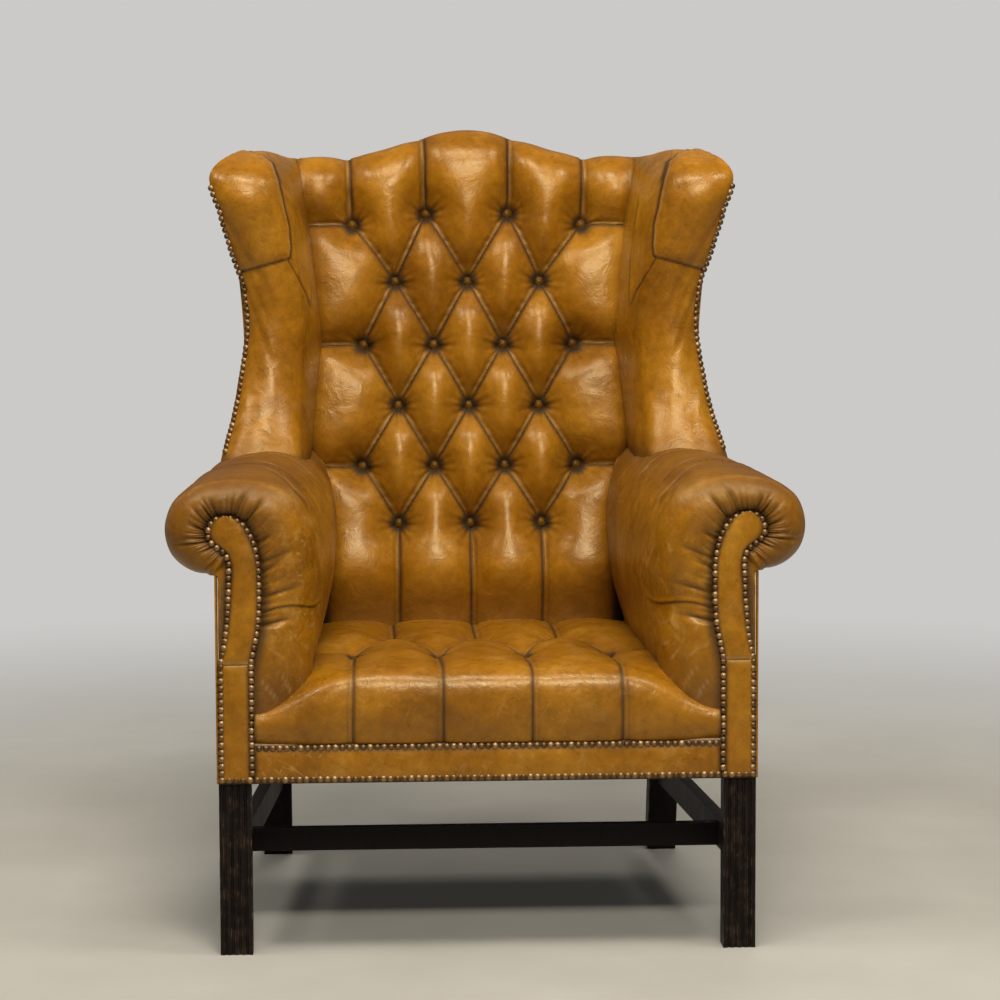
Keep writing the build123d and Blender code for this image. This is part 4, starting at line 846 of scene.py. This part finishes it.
def crowned(x, z, across, crown, wear, seam):
    """A thin stuffed panel on the front plane: flat at its nailed edges and crowned between them, with painted
    shade along those edges. seam is the height of the folded edge where two panels meet, rubbed and painted
    with a highlight."""
    swell_out = crown * dome(across, 0.5) * ease(across, 0, 0.06)
    y = -PANEL_LIFT - swell_out
    grid = np.stack([x, y, z], axis=-1)
    grid[..., 1] += 0.5 * wrinkles(grid, 26, 8) * ease(across, 0, 0.2)
    fold = bell(z - seam, 3)
    edge = (1 - ease(across, 0.05, 0.2)) * (1 - bell(z - seam, 9))
    grid = np.concatenate([grid[:1] + [0, PANEL_LIFT, 0], grid, grid[-1:] + [0, PANEL_LIFT, 0]])
    grid = np.concatenate([grid[:, :1] + [0, PANEL_LIFT, 0], grid, grid[:, -1:] + [0, PANEL_LIFT, 0]], axis=1)
    edge, fold = np.pad(edge, 1, mode="edge"), np.pad(fold, 1, mode="edge")
    # Painted shade along the nailed edges; a painted highlight and rubbed wear along the seam's fold.
    marks = {"crease_shade_and_dirt": 0.8 * edge, "hollow_shade_and_dirt": 0.7 * edge, "wear": np.maximum(wear, fold), "dust_and_sheen": fold}
    return grid, marks


def arm_panel():
    """The scroll-shaped panel on the arm's front."""
    inner = even_curve([(320, 401), (309, 450), (307, 505), (309, 545), (317, 575), (330, 594),
                        (350, 603.5)], 90)
    outer = even_curve([(365, 401), (359, 425), (354, 455), (350, 500), (349, 541), (353, 552), (362, 560),
                        (373, 568), (378, 577), (377, 588), (367, 600), (350.5, 604)], 90)
    share = np.linspace(0, 1, 25)[None, :]
    x = inner[:, :1] + (outer[:, :1] - inner[:, :1]) * share
    z = inner[:, 1:] + (outer[:, 1:] - inner[:, 1:]) * share
    across = np.minimum(share, 1 - share) * np.ones_like(x)
    low = (np.maximum(z - SEAM_HEIGHT, 0) + PANEL_LAP) / 48
    return crowned(x, z, np.minimum(across, low), PANEL_CROWN, 0.35, SEAM_HEIGHT)


def flat_panel(x_low, x_high, z_low, z_high, columns, rows, crown, wear, lap=0.0):
    """A rectangular panel on the front. lap is the fullness left at its upper edge."""
    share_x, share_z = np.meshgrid(np.linspace(0, 1, columns), np.linspace(0, 1, rows))
    x = x_low + (x_high - x_low) * share_x
    z = z_low + (z_high - z_low) * share_z
    short = min(x_high - x_low, z_high - z_low)
    side = np.minimum(np.minimum(x - x_low, x_high - x), np.minimum(z - z_low, z_high - z + lap))
    return crowned(x, z, np.minimum(side / short, 0.5), crown, wear, SEAM_HEIGHT)


# Geometry Nodes: nails along a path and covered buttons on points

STUD_SCALES = (0.93, 1.04)       # smallest and largest stud, as shares of the given size


def node(tree, kind, inputs=None, **settings):
    """Adds a node. settings are its properties; inputs are values or the outputs that feed its sockets."""
    made = tree.nodes.new(kind)
    for key, value in settings.items():
        setattr(made, key, value)
    for key, value in (inputs or {}).items():
        if isinstance(value, bpy.types.NodeSocket):
            tree.links.new(value, made.inputs[key])
        else:
            made.inputs[key].default_value = value
    return made


def stud_tree(name, on_path):
    """Studs with a domed head: every pitch along a path, or one on each point."""
    tree = bpy.data.node_groups.new(name, "GeometryNodeTree")
    face = tree.interface
    face.new_socket("Geometry", in_out="INPUT", socket_type="NodeSocketGeometry")
    face.new_socket("Geometry", in_out="OUTPUT", socket_type="NodeSocketGeometry")
    for label in ("Pitch", "Head radius", "Head height", "Tilt"):
        face.new_socket(label, in_out="INPUT", socket_type="NodeSocketFloat")
    face.new_socket("Seed", in_out="INPUT", socket_type="NodeSocketInt")
    face.new_socket("Finish", in_out="INPUT", socket_type="NodeSocketMaterial")
    given = tree.nodes.new("NodeGroupInput").outputs
    head = node(tree, "GeometryNodeMeshUVSphere", {"Segments": 10, "Rings": 6, "Radius": 1.0})
    size = node(tree, "ShaderNodeCombineXYZ", {"X": given["Head radius"], "Y": given["Head radius"],
                                               "Z": given["Head height"]})
    shaped = node(tree, "GeometryNodeTransform", {"Geometry": head.outputs["Mesh"], "Scale": size.outputs[0]})
    smooth = node(tree, "GeometryNodeSetShadeSmooth", {"Geometry": shaped.outputs[0]})
    places = given["Geometry"]
    if on_path:
        path = node(tree, "GeometryNodeMeshToCurve", {"Mesh": places})
        even = node(tree, "GeometryNodeResampleCurve", {"Curve": path.outputs[0], "Length": given["Pitch"]},
                    mode="LENGTH")
        places = even.outputs[0]
    facing = node(tree, "GeometryNodeInputNamedAttribute", {"Name": "facing"}, data_type="FLOAT_VECTOR")
    lean = node(tree, "FunctionNodeRandomValue",
                {"Min": (-1, -1, -1), "Max": (1, 1, 1), "Seed": given["Seed"]}, data_type="FLOAT_VECTOR")
    tilt = node(tree, "ShaderNodeVectorMath", {0: lean.outputs[0], "Scale": given["Tilt"]}, operation="SCALE")
    way = node(tree, "ShaderNodeVectorMath", {0: facing.outputs[0], 1: tilt.outputs[0]}, operation="ADD")
    turn = node(tree, "FunctionNodeAlignRotationToVector", {"Vector": way.outputs[0]}, axis="Z")
    low, high = STUD_SCALES
    scale = node(tree, "FunctionNodeRandomValue", {2: low, 3: high, "Seed": given["Seed"]}, data_type="FLOAT")
    heads = node(tree, "GeometryNodeInstanceOnPoints",
                 {"Points": places, "Instance": smooth.outputs[0], "Rotation": turn.outputs[0],
                  "Scale": scale.outputs[1]})
    shade = node(tree, "FunctionNodeRandomValue", {2: 0.0, 3: 1.0, "Seed": given["Seed"]}, data_type="FLOAT")
    toned = node(tree, "GeometryNodeStoreNamedAttribute",
                 {"Geometry": heads.outputs[0], "Name": "tone", "Value": shade.outputs[1]},
                 data_type="FLOAT", domain="INSTANCE")
    real = node(tree, "GeometryNodeRealizeInstances", {"Geometry": toned.outputs[0]})
    coated = node(tree, "GeometryNodeSetMaterial", {"Geometry": real.outputs[0], "Material": given["Finish"]})
    node(tree, "NodeGroupOutput", {"Geometry": coated.outputs[0]})
    return tree


def studs(name, tree, places, facings, joined, sizes, seed, material):
    """A plain mesh of studs on the given places. joined are runs of places that a path links."""
    mesh = bpy.data.meshes.new(name)
    edges = [(i, i + 1) for start, end in joined for i in range(start, end - 1)]
    mesh.from_pydata(to_metres(places).tolist(), edges, [])
    layer = mesh.attributes.new("facing", "FLOAT_VECTOR", "POINT")
    layer.data.foreach_set("vector", np.asarray(facings, np.float32).ravel())
    maker = bpy.data.objects.new(name + "_maker", mesh)
    scene.collection.objects.link(maker)
    modifier = maker.modifiers.new("studs", "NODES")
    modifier.node_group = tree
    values = dict(sizes, Seed=seed, Finish=material)
    for socket in tree.interface.items_tree:
        if socket.in_out == "INPUT" and socket.name in values:
            modifier[socket.identifier] = values[socket.name]
    depsgraph = bpy.context.evaluated_depsgraph_get()
    made = bpy.data.meshes.new_from_object(maker.evaluated_get(depsgraph), preserve_all_data_layers=True,
                                           depsgraph=depsgraph)
    bpy.data.objects.remove(maker)
    made.name = name
    return made


# Materials

def new_material(name):
    """A material with its tree, its shader and the piece's own coordinates."""
    made = bpy.data.materials.new(name)
    made.use_nodes = True
    tree = made.node_tree
    shader = tree.nodes["Principled BSDF"]
    coords = node(tree, "ShaderNodeTexCoord").outputs["Object"]
    return made, tree, shader, coords


def ramp(tree, value, stops):
    """A colour ramp over value, with (place, colour or grey) stops."""
    made = node(tree, "ShaderNodeValToRGB", {"Fac": value})
    bar = made.color_ramp
    while len(bar.elements) < len(stops):
        bar.elements.new(0.5)
    for element, (place, colour) in zip(bar.elements, stops):
        element.position = place
        grey = isinstance(colour, (int, float))
        element.color = (colour, colour, colour, 1) if grey else (*colour, 1)
    return made.outputs["Color"]


def speckle(tree, coords, scale, detail=4.0, rough=0.6, twist=0.0):
    """Cloudy noise from 0 to 1."""
    return node(tree, "ShaderNodeTexNoise", {"Vector": coords, "Scale": scale, "Detail": detail,
                                             "Roughness": rough, "Distortion": twist}).outputs["Fac"]


def mixed(tree, share, first, second, blend="MIX"):
    """Two colours, blended by a share or by what feeds it."""
    made = node(tree, "ShaderNodeMix", data_type="RGBA", blend_type=blend)
    for key, value in ((0, share), (6, first), (7, second)):
        if isinstance(value, bpy.types.NodeSocket):
            tree.links.new(value, made.inputs[key])
        else:
            made.inputs[key].default_value = (*value, 1) if isinstance(value, tuple) else value
    return made.outputs[2]


def maths(tree, operation, first, second=0.0, third=0.0, clamp=False):
    inputs = {0: first, 1: second, 2: third}
    return node(tree, "ShaderNodeMath", inputs, operation=operation, use_clamp=clamp).outputs[0]


def product(tree, first, *others):
    """The product of several values, multiplied from left to right."""
    for other in others:
        first = maths(tree, "MULTIPLY", first, other)
    return first


def mark(tree, name):
    """One of the piece's own marks."""
    return node(tree, "ShaderNodeAttribute", attribute_name=name).outputs["Fac"]


def bump(tree, height, strength, distance, below=None):
    """Normals of a fine relief, on top of another one where below gives it."""
    inputs = {"Height": height, "Strength": strength, "Distance": distance}
    if below is not None:
        inputs["Normal"] = below
    return node(tree, "ShaderNodeBump", inputs).outputs["Normal"]


def scratches(tree, coords, lean, scale):
    """Thin straight scratches that lean that far from upright."""
    laid = node(tree, "ShaderNodeMapping",
                {"Vector": coords, "Rotation": (0.2, lean, 0.0), "Scale": (1.0, 1.0, 16.0)},
                vector_type="TEXTURE").outputs[0]
    return ramp(tree, speckle(tree, laid, scale, 1.0, 0.4), [(0.66, 0.0), (0.69, 1.0)])


TAN_DYES = ((0.3, (0.185, 0.066, 0.002)), (0.5, (0.275, 0.106, 0.003)), (0.7, (0.35, 0.150, 0.008)))
CRACK_BROWN = (0.09, 0.030, 0.005)
SCUFF_PALE = (0.58, 0.36, 0.10)
# The next three: painted shade with dirt in the hollows, painted shade in the creases, and dust with painted
# highlights.
HOLLOW_SHADE_AND_DIRT_BROWN = (0.070, 0.022, 0.003)
CREASE_SHADE_AND_DIRT_BLACK = (0.010, 0.004, 0.002)
DUST_AND_SHEEN_TAN = (0.48, 0.31, 0.13)


def aged_leather(name, depth, shine):
    """Glossy tan hide: mottled dye, fine cracks, pale scratches, painted shade and dirt in folds, dust and
    painted highlights.
    depth scales the dye's lightness and shine its reflections."""
    made, tree, shader, coords = new_material(name)
    crease_shade_and_dirt, hollow_shade_and_dirt = mark(tree, "crease_shade_and_dirt"), mark(tree, "hollow_shade_and_dirt")
    wear, dust_and_sheen = mark(tree, "wear"), mark(tree, "dust_and_sheen")
    broad = speckle(tree, coords, 7.0, 5.0, 0.62, 0.4)
    fine = speckle(tree, coords, 62.0, 7.0, 0.72)
    dye = ramp(tree, broad, [(place, tuple(part * depth for part in colour)) for place, colour in TAN_DYES])
    tint = ramp(tree, fine, [(0.3, 0.72), (0.5, 0.96), (0.7, 1.22)])
    colour = mixed(tree, 0.85, dye, tint, "MULTIPLY")
    cells = node(tree, "ShaderNodeTexVoronoi", {"Vector": coords, "Scale": 210.0, "Randomness": 1.0},
                 feature="DISTANCE_TO_EDGE").outputs["Distance"]
    cracks = ramp(tree, cells, [(0.0, 1.0), (0.09, 0.0)])
    patches = ramp(tree, speckle(tree, coords, 13.0, 3.0), [(0.42, 0.0), (0.62, 1.0)])
    colour = mixed(tree, product(tree, cracks, patches, 0.14), colour, CRACK_BROWN)
    steep = scratches(tree, coords, 0.55, 230.0)
    slack = scratches(tree, coords, -0.95, 260.0)
    where = ramp(tree, speckle(tree, coords, 9.0, 3.0), [(0.48, 0.0), (0.62, 1.0)])
    scuffs = product(tree, maths(tree, "MAXIMUM", steep, slack), where, wear)
    rubbed = ramp(tree, speckle(tree, coords, 26.0, 6.0, 0.7), [(0.54, 0.0), (0.78, 1.0)])
    scuffs = maths(tree, "MAXIMUM", product(tree, scuffs, 0.26), product(tree, rubbed, wear, 0.4))
    colour = mixed(tree, scuffs, colour, SCUFF_PALE)
    # Painted shade, with dirt, in the sunk places.
    colour = mixed(tree, product(tree, hollow_shade_and_dirt, 0.6), colour, HOLLOW_SHADE_AND_DIRT_BROWN)
    # Painted shade along the creases and seams, and a painted shadow round the buttons.
    colour = mixed(tree, product(tree, crease_shade_and_dirt, 0.94), colour, CREASE_SHADE_AND_DIRT_BLACK)
    specks = ramp(tree, speckle(tree, coords, 40.0, 5.0), [(0.3, 0.12), (0.7, 0.5)])
    # Dust on tops, and painted highlights on flaps, ridges and seam lips.
    dust_and_sheen_specks = product(tree, dust_and_sheen, specks)
    colour = mixed(tree, dust_and_sheen_specks, colour, DUST_AND_SHEEN_TAN)
    tree.links.new(colour, shader.inputs["Base Color"])
    gloss = ramp(tree, fine, [(0.3, 0.24), (0.7, 0.38)])
    dull = product(tree, maths(tree, "ADD", crease_shade_and_dirt, dust_and_sheen_specks), 0.3)
    gloss = maths(tree, "ADD", gloss, dull, clamp=True)
    gloss = maths(tree, "ADD", gloss, product(tree, hollow_shade_and_dirt, 0.2), clamp=True)
    tree.links.new(gloss, shader.inputs["Roughness"])
    shader.inputs["Specular IOR Level"].default_value = 0.45 * shine
    shader.inputs["Specular Tint"].default_value = (1.0, 0.85, 0.55, 1)
    grain = node(tree, "ShaderNodeTexVoronoi", {"Vector": coords, "Scale": 520.0},
                 feature="SMOOTH_F1").outputs[0]
    crumple = speckle(tree, coords, 34.0, 5.0, 0.55, 0.8)
    under = bump(tree, crumple, 0.35, 0.004)
    under = bump(tree, cracks, -0.12, 0.0012, under)
    tree.links.new(bump(tree, grain, 0.16, 0.0008, under), shader.inputs["Normal"])
    return made


def worn_wood(name, dark, mid, chip, chips):
    """Old stained wood: long grain, a dull polish, and paler wood where edges are rubbed and chipped."""
    made, tree, shader, coords = new_material(name)
    long = node(tree, "ShaderNodeMapping", {"Vector": coords, "Scale": (1.0, 1.0, 0.12)}).outputs[0]
    grain = speckle(tree, long, 120.0, 6.0, 0.65, 0.6)
    colour = ramp(tree, grain, [(0.35, dark), (0.7, mid)])
    soft = node(tree, "ShaderNodeBevel", {"Radius": 0.0045}, samples=6).outputs[0]
    true = node(tree, "ShaderNodeNewGeometry").outputs["Normal"]
    bent = node(tree, "ShaderNodeVectorMath", {0: soft, 1: true}, operation="DOT_PRODUCT").outputs["Value"]
    edges = ramp(tree, bent, [(0.78, 1.0), (0.985, 0.0)])
    patchy = ramp(tree, speckle(tree, coords, 55.0, 6.0, 0.7), [(0.5, 0.0), (0.62, 1.0)])
    dents = ramp(tree, speckle(tree, long, 75.0, 4.0, 0.7), [(0.66, 0.0), (0.72, 1.0)])
    share = maths(tree, "MAXIMUM", product(tree, edges, patchy), product(tree, dents, 0.35))
    colour = mixed(tree, product(tree, share, chips), colour, chip)
    tree.links.new(colour, shader.inputs["Base Color"])
    tree.links.new(ramp(tree, grain, [(0.3, 0.38), (0.75, 0.62)]), shader.inputs["Roughness"])
    shader.inputs["Specular IOR Level"].default_value = 0.12
    tree.links.new(bump(tree, grain, 0.25, 0.0015), shader.inputs["Normal"])
    return made


def aged_brass():
    """Old brass nail heads: dull gold with spots of brown patina, each a little different."""
    made, tree, shader, coords = new_material("aged_brass")
    tone = mark(tree, "tone")
    spots = speckle(tree, coords, 420.0, 4.0, 0.7)
    shade = maths(tree, "ADD", maths(tree, "MULTIPLY_ADD", tone, 0.35, 0.15), product(tree, spots, 0.5))
    colour = ramp(tree, shade, [(0.2, (0.05, 0.028, 0.013)), (0.5, (0.17, 0.098, 0.042)),
                                (0.85, (0.40, 0.25, 0.12))])
    tree.links.new(colour, shader.inputs["Base Color"])
    shader.inputs["Metallic"].default_value = 1.0
    tree.links.new(ramp(tree, spots, [(0.3, 0.40), (0.7, 0.6)]), shader.inputs["Roughness"])
    tree.links.new(bump(tree, spots, 0.15, 0.0006), shader.inputs["Normal"])
    return made


def woven(name, thread, shadow, scale):
    """A plain weave of flat threads."""
    made, tree, shader, coords = new_material(name)
    threads = [node(tree, "ShaderNodeTexWave", {"Vector": coords, "Scale": scale, "Distortion": 0.6},
                    bands_direction=way).outputs["Fac"] for way in ("X", "DIAGONAL")]
    weave = product(tree, *threads)
    colour = ramp(tree, weave, [(0.05, shadow), (0.6, thread)])
    tree.links.new(colour, shader.inputs["Base Color"])
    shader.inputs["Roughness"].default_value = 0.9
    tree.links.new(bump(tree, weave, 0.4, 0.001), shader.inputs["Normal"])
    return made


def drawn_steel(name, dark, light):
    """Plain steel with old stains."""
    made, tree, shader, coords = new_material(name)
    stain = speckle(tree, coords, 90.0, 5.0, 0.65)
    tree.links.new(ramp(tree, stain, [(0.35, dark), (0.7, light)]), shader.inputs["Base Color"])
    shader.inputs["Metallic"].default_value = 1.0
    tree.links.new(ramp(tree, stain, [(0.3, 0.5), (0.7, 0.3)]), shader.inputs["Roughness"])
    return made


leather = aged_leather("aged_tan_leather", 0.92, 1.0)
# The buttons take the same hide with its dye darkened to 0.28: painted shade for their deep dimples.
shaded_button_leather = aged_leather("dark_button_leather", 0.28, 0.3)
leg_wood = worn_wood("dark_leg_wood", (0.003, 0.002, 0.0015), (0.012, 0.007, 0.005),
                     (0.13, 0.075, 0.042), 0.8)
stretcher_wood = worn_wood("dusty_stretcher_wood", (0.012, 0.009, 0.008), (0.036, 0.028, 0.023),
                           (0.12, 0.095, 0.075), 0.6)
cross_wood = worn_wood("red_black_wood", (0.002, 0.001, 0.0008), (0.008, 0.003, 0.002),
                       (0.05, 0.022, 0.014), 0.5)
frame_wood = worn_wood("sawn_frame_wood", (0.36, 0.24, 0.14), (0.56, 0.42, 0.27), (0.62, 0.50, 0.34), 0.4)
brass = aged_brass()
hessian_cloth = woven("hessian_weave", (0.48, 0.37, 0.22), (0.20, 0.14, 0.08), 260.0)
webbing_cloth = woven("webbing_weave", (0.45, 0.36, 0.24), (0.16, 0.11, 0.07), 180.0)
dust_cloth = woven("dust_cover_weave", (0.030, 0.029, 0.028), (0.008, 0.008, 0.008), 320.0)
spring_steel = drawn_steel("coppered_spring_wire", (0.20, 0.13, 0.09), (0.42, 0.32, 0.25))
screw_steel = drawn_steel("screw_steel", (0.30, 0.30, 0.30), (0.55, 0.55, 0.55))


# The CAD nodes that stay in view or inside take finished materials

NODE_FINISHES = (
    (leg_wood, ("front_leg", "rear_leg")),
    (stretcher_wood, ("side_stretcher",)),
    (cross_wood, ("cross_stretcher",)),
    (leather, ("outside_arm_panel", "outside_wing_panel", "outside_back_panel", "arm_front_panel",
               "post_front_panel", "front_border", "seat_buttons", "back_buttons", "seat_pad",
               "inside_back_pad", "arm_pad", "wing_pad")),
    (hessian_cloth, ("seat_hessian", "back_hessian", "arm_hessian", "wing_hessian")),
    (webbing_cloth, ("seat_webbing", "back_webbing")),
    (dust_cloth, ("dust_cover",)),
    (spring_steel, ("seat_springs",)),
    (screw_steel, ("corner_block_screws",)),
)


def finish_of(name):
    """The material of a CAD node: unfinished wood where nothing else is named."""
    for material, stems in NODE_FINISHES:
        if name.startswith(stems):
            return material
    return frame_wood


for node_name, cad in nodes.items():
    cad.data.materials.clear()
    cad.data.materials.append(finish_of(node_name))


# Stuffed pieces

back_piece = piece("inside_back", inside_back(), leather, "padding", "inside_back_pad")
seat_piece = piece("seat", seat(), leather, "padding", "seat_pad")
right_arm = arm()
right_wing = wing()
post_sides, post_ends = POST_EDGES
post_panel = flat_panel(*post_sides, *post_ends, 20, 60, POST_CROWN, 0.35, PANEL_LAP)
PAIRS = (                        # name, CAD node, points and marks, whether its rows close, share of stuffing
    ("arm", "arm_pad", right_arm, True, 0.8),
    ("wing", "wing_pad", right_wing, True, 0.8),
    ("arm_front", "arm_front_panel", arm_panel(), False, 0.9),
    ("post_front", "post_front_panel", post_panel, False, 0.9),
)
for label, side in SIDES:
    for stem, cad_stem, (grid, marks), wrap, fill in PAIRS:
        shape = grid_mesh(f"{stem}_{label}", grid * np.array([side, 1, 1]), marks, wrap)
        slot = "padding" if wrap else "tan_leather"
        piece(f"{stem}_{label}", shape, leather, slot, f"{cad_stem}_{label}")
border_points, border_marks = flat_panel(-BORDER_HALF, BORDER_HALF, *BORDER_EDGES, 240, 22, BORDER_CROWN, 0.8)
border = piece("front_border_band", grid_mesh("front_border_band", border_points, border_marks), leather,
               "tan_leather", "front_border")


# Covered buttons

BUTTON_SIZES = {"Pitch": 0.01, "Head radius": 0.0084, "Head height": 0.0042, "Tilt": 0.1}
BUTTON_RISE = 5.0                # buttons' middles above the tufts' floors
button_tree = stud_tree("covered_buttons", False)
back_places = [off_back(x, up, BACK_BASE + TUFT_FLOOR + BUTTON_RISE) for x, up in back_pleats()[1]]
back_facing = [(0, -math.cos(RAKE), math.sin(RAKE))] * len(back_places)
seat_places = [(x, SEAT_DEPTHS[0], SEAT_TUFTS[0] + SEAT_FLOOR) for x in SEAT_FRONT_BUTTONS]
seat_places += [(x, SEAT_DEPTHS[1], SEAT_TUFTS[1] + SEAT_FLOOR) for x in SEAT_REAR_BUTTONS]
seat_facing = [(0, 0, 1)] * len(seat_places)
BUTTON_SETS = (("back", back_places, back_facing, 3), ("seat", seat_places, seat_facing, 5))
for label, places, facing, seed in BUTTON_SETS:
    name = f"{label}_covered_buttons"
    heads = studs(name, button_tree, places, facing, [], BUTTON_SIZES, seed, shaded_button_leather)
    piece(name, heads, shaded_button_leather, "tan_leather", f"{label}_buttons")


# Brass nails

NAIL_SIZES = {"Pitch": 0.0094, "Head radius": 0.0048, "Head height": 0.0030, "Tilt": 0.12}
NAIL_OUT = -5.8                  # depth of the nails' middles on the front panels
LOWER_NAILS = 243.0
UPPER_NAILS = 286.0
POST_NAIL_COLUMNS = (361, 320.5)
POST_NAIL_ENDS = (252, 398)
WING_NAIL_ENDS = (652, 1040)
SCROLL_NAILS = (
    (360, 405), (355, 430), (351, 470), (349, 520), (350, 545), (356, 554), (367, 562), (375, 571),
    (376, 583), (369, 596), (352, 600.5), (334, 594), (319, 574), (311, 545), (309, 505), (311, 455),
    (320, 405),
)
nail_tree = stud_tree("brass_nails", True)


def nail_rows(name, rows, seed):
    """Nails along several paths; each path is points and the way its nails face."""
    places, facings, joined = [], [], []
    for points, facing in rows:
        joined.append((len(places), len(places) + len(points)))
        places += [tuple(point) for point in points]
        facings += [facing] * len(points)
    made = studs(name, nail_tree, places, facings, joined, NAIL_SIZES, seed, brass)
    return piece(name, made, brass, None)


def on_front(points):
    """Places of nails on the front panels, from (x, height)."""
    return [(x, NAIL_OUT, z) for x, z in points]


front = (0, -1, 0)
nail_rows("front_nails", [
    (on_front([(-361, LOWER_NAILS), (361, LOWER_NAILS)]), front),
    (on_front([(-311, UPPER_NAILS), (311, UPPER_NAILS)]), front),
], 7)
arm_columns = [[(x, z) for z in POST_NAIL_ENDS] for x in POST_NAIL_COLUMNS] + [even_curve(SCROLL_NAILS, 160)]
wing_edge = right_wing[0][::6, WING_FINER * WING_NAIL_COLUMN]
wing_nails = [tuple(point + (1.0, -2.0, 0)) for point in wing_edge
              if WING_NAIL_ENDS[0] < point[2] < WING_NAIL_ENDS[1]]
for label, side in SIDES:
    arm_rows = [(on_front([(side * x, z) for x, z in column]), front) for column in arm_columns]
    nail_rows(f"arm_nails_{label}", arm_rows, 11 + side)
    wing_row = [(side * x, y, z) for x, y, z in wing_nails]
    nail_rows(f"wing_nails_{label}", [(wing_row, (side * 0.4, -0.9, 0.03))], 21 + side)


# Studio: pale floor, soft overhead light, the photograph's camera

FLOOR_HALF = 4.0
FLOOR_FADE = (0.8, 3.2)          # metres from the chair between which the floor fades into the backdrop
FLOOR_DIM = (0.37, 0.35, 0.30)
FLOOR_PALE = (0.42, 0.40, 0.35)


def floor():
    """A plain pale floor that fades into the backdrop."""
    corners = [(x * FLOOR_HALF, y * FLOOR_HALF, 0) for x, y in ((-1, -1), (1, -1), (1, 1), (-1, 1))]
    mesh = bpy.data.meshes.new("floor")
    mesh.from_pydata(corners, [], [(0, 1, 2, 3)])
    made, tree, shader, coords = new_material("floor_paint")
    tree.links.new(ramp(tree, speckle(tree, coords, 3.0), [(0.3, FLOOR_DIM), (0.7, FLOOR_PALE)]),
                   shader.inputs["Base Color"])
    shader.inputs["Roughness"].default_value = 0.6
    away = node(tree, "ShaderNodeVectorMath", {0: coords}, operation="LENGTH").outputs["Value"]
    near, far = FLOOR_FADE
    share = node(tree, "ShaderNodeMapRange", {"Value": away, "From Min": near, "From Max": far, "To Min": 1.0,
                                              "To Max": 0.0}, interpolation_type="SMOOTHSTEP").outputs[0]
    tree.links.new(share, shader.inputs["Alpha"])
    mesh.materials.append(made)
    plane = bpy.data.objects.new("floor", mesh)
    scene.collection.objects.link(plane)


floor()


def area_light(name, place, target, size, power, colour, in_gloss=True):
    """A soft lamp that faces target. in_gloss tells whether glossy surfaces show it."""
    lamp = bpy.data.lights.new(name, "AREA")
    lamp.shape = "RECTANGLE"
    lamp.size, lamp.size_y = size
    lamp.energy = power
    lamp.color = colour
    made = bpy.data.objects.new(name, lamp)
    made.location = place
    made.visible_glossy = in_gloss
    made.rotation_euler = (Vector(target) - Vector(place)).to_track_quat("-Z", "Y").to_euler()
    scene.collection.objects.link(made)


area_light("ceiling_front", (-0.2, -1.2, 3.2), (0, 0, 0.6), (1.2, 0.6), 52, (1.0, 0.96, 0.88))
area_light("ceiling_far", (0.3, -3.4, 3.0), (0, 0, 0.5), (1.6, 0.7), 120, (1.0, 0.96, 0.88))
area_light("ceiling_right", (1.5, -0.9, 3.0), (0, 0, 0.6), (0.8, 0.6), 30, (1.0, 0.96, 0.9))
area_light("ceiling_left", (-1.7, -0.6, 2.9), (0, 0, 0.6), (0.8, 0.6), 28, (1.0, 0.97, 0.92))
area_light("ceiling_rear", (0.4, 2.2, 3.0), (0, 0, 0.6), (1.4, 0.8), 40, (1.0, 0.97, 0.93), False)
area_light("front_fill", (0.4, -4.6, 1.7), (0, 0, 0.6), (2.4, 1.6), 8, (1.0, 0.98, 0.95))

AIR = (1.0, 0.985, 0.96)
SEEN_AIR = 0.60                  # brightness of the backdrop
FILL_AIR = 0.15                  # brightness of the light that it gives
world = bpy.data.worlds.new("studio")
world.use_nodes = True
air = world.node_tree
seen = node(air, "ShaderNodeLightPath").outputs["Is Camera Ray"]
strength = node(air, "ShaderNodeMapRange", {"Value": seen, "To Min": FILL_AIR, "To Max": SEEN_AIR}).outputs[0]
air.nodes["Background"].inputs["Color"].default_value = (*AIR, 1)
air.links.new(strength, air.nodes["Background"].inputs["Strength"])
scene.world = world
scene.view_settings.view_transform = "Standard"

CAMERA_YAW = math.radians(2.748)
CAMERA_PITCH = math.radians(5.941)
CAMERA_ROLL = math.radians(-0.217)
CAMERA_PLACE = (-193.7, -4395.9, 1078.9)
yaw_sin, yaw_cos = math.sin(CAMERA_YAW), math.cos(CAMERA_YAW)
pitch_sin, pitch_cos = math.sin(CAMERA_PITCH), math.cos(CAMERA_PITCH)
level = Vector((yaw_cos, -yaw_sin, 0))
ahead = Vector((yaw_sin * pitch_cos, yaw_cos * pitch_cos, -pitch_sin))
above = Vector((yaw_sin * pitch_sin, yaw_cos * pitch_sin, pitch_cos))
camera_right = math.cos(CAMERA_ROLL) * level + math.sin(CAMERA_ROLL) * above
camera_up = math.cos(CAMERA_ROLL) * above - math.sin(CAMERA_ROLL) * level
lens = bpy.data.cameras.new("camera")
lens.sensor_width = 36.0
lens.lens = 118.07
camera = bpy.data.objects.new("camera", lens)
camera.matrix_world = Matrix.Translation(Vector(to_metres(CAMERA_PLACE))) @ Matrix(
    (camera_right, camera_up, -ahead)).transposed().to_4x4()
scene.collection.objects.link(camera)
scene.camera = camera

bpy.context.view_layer.update()
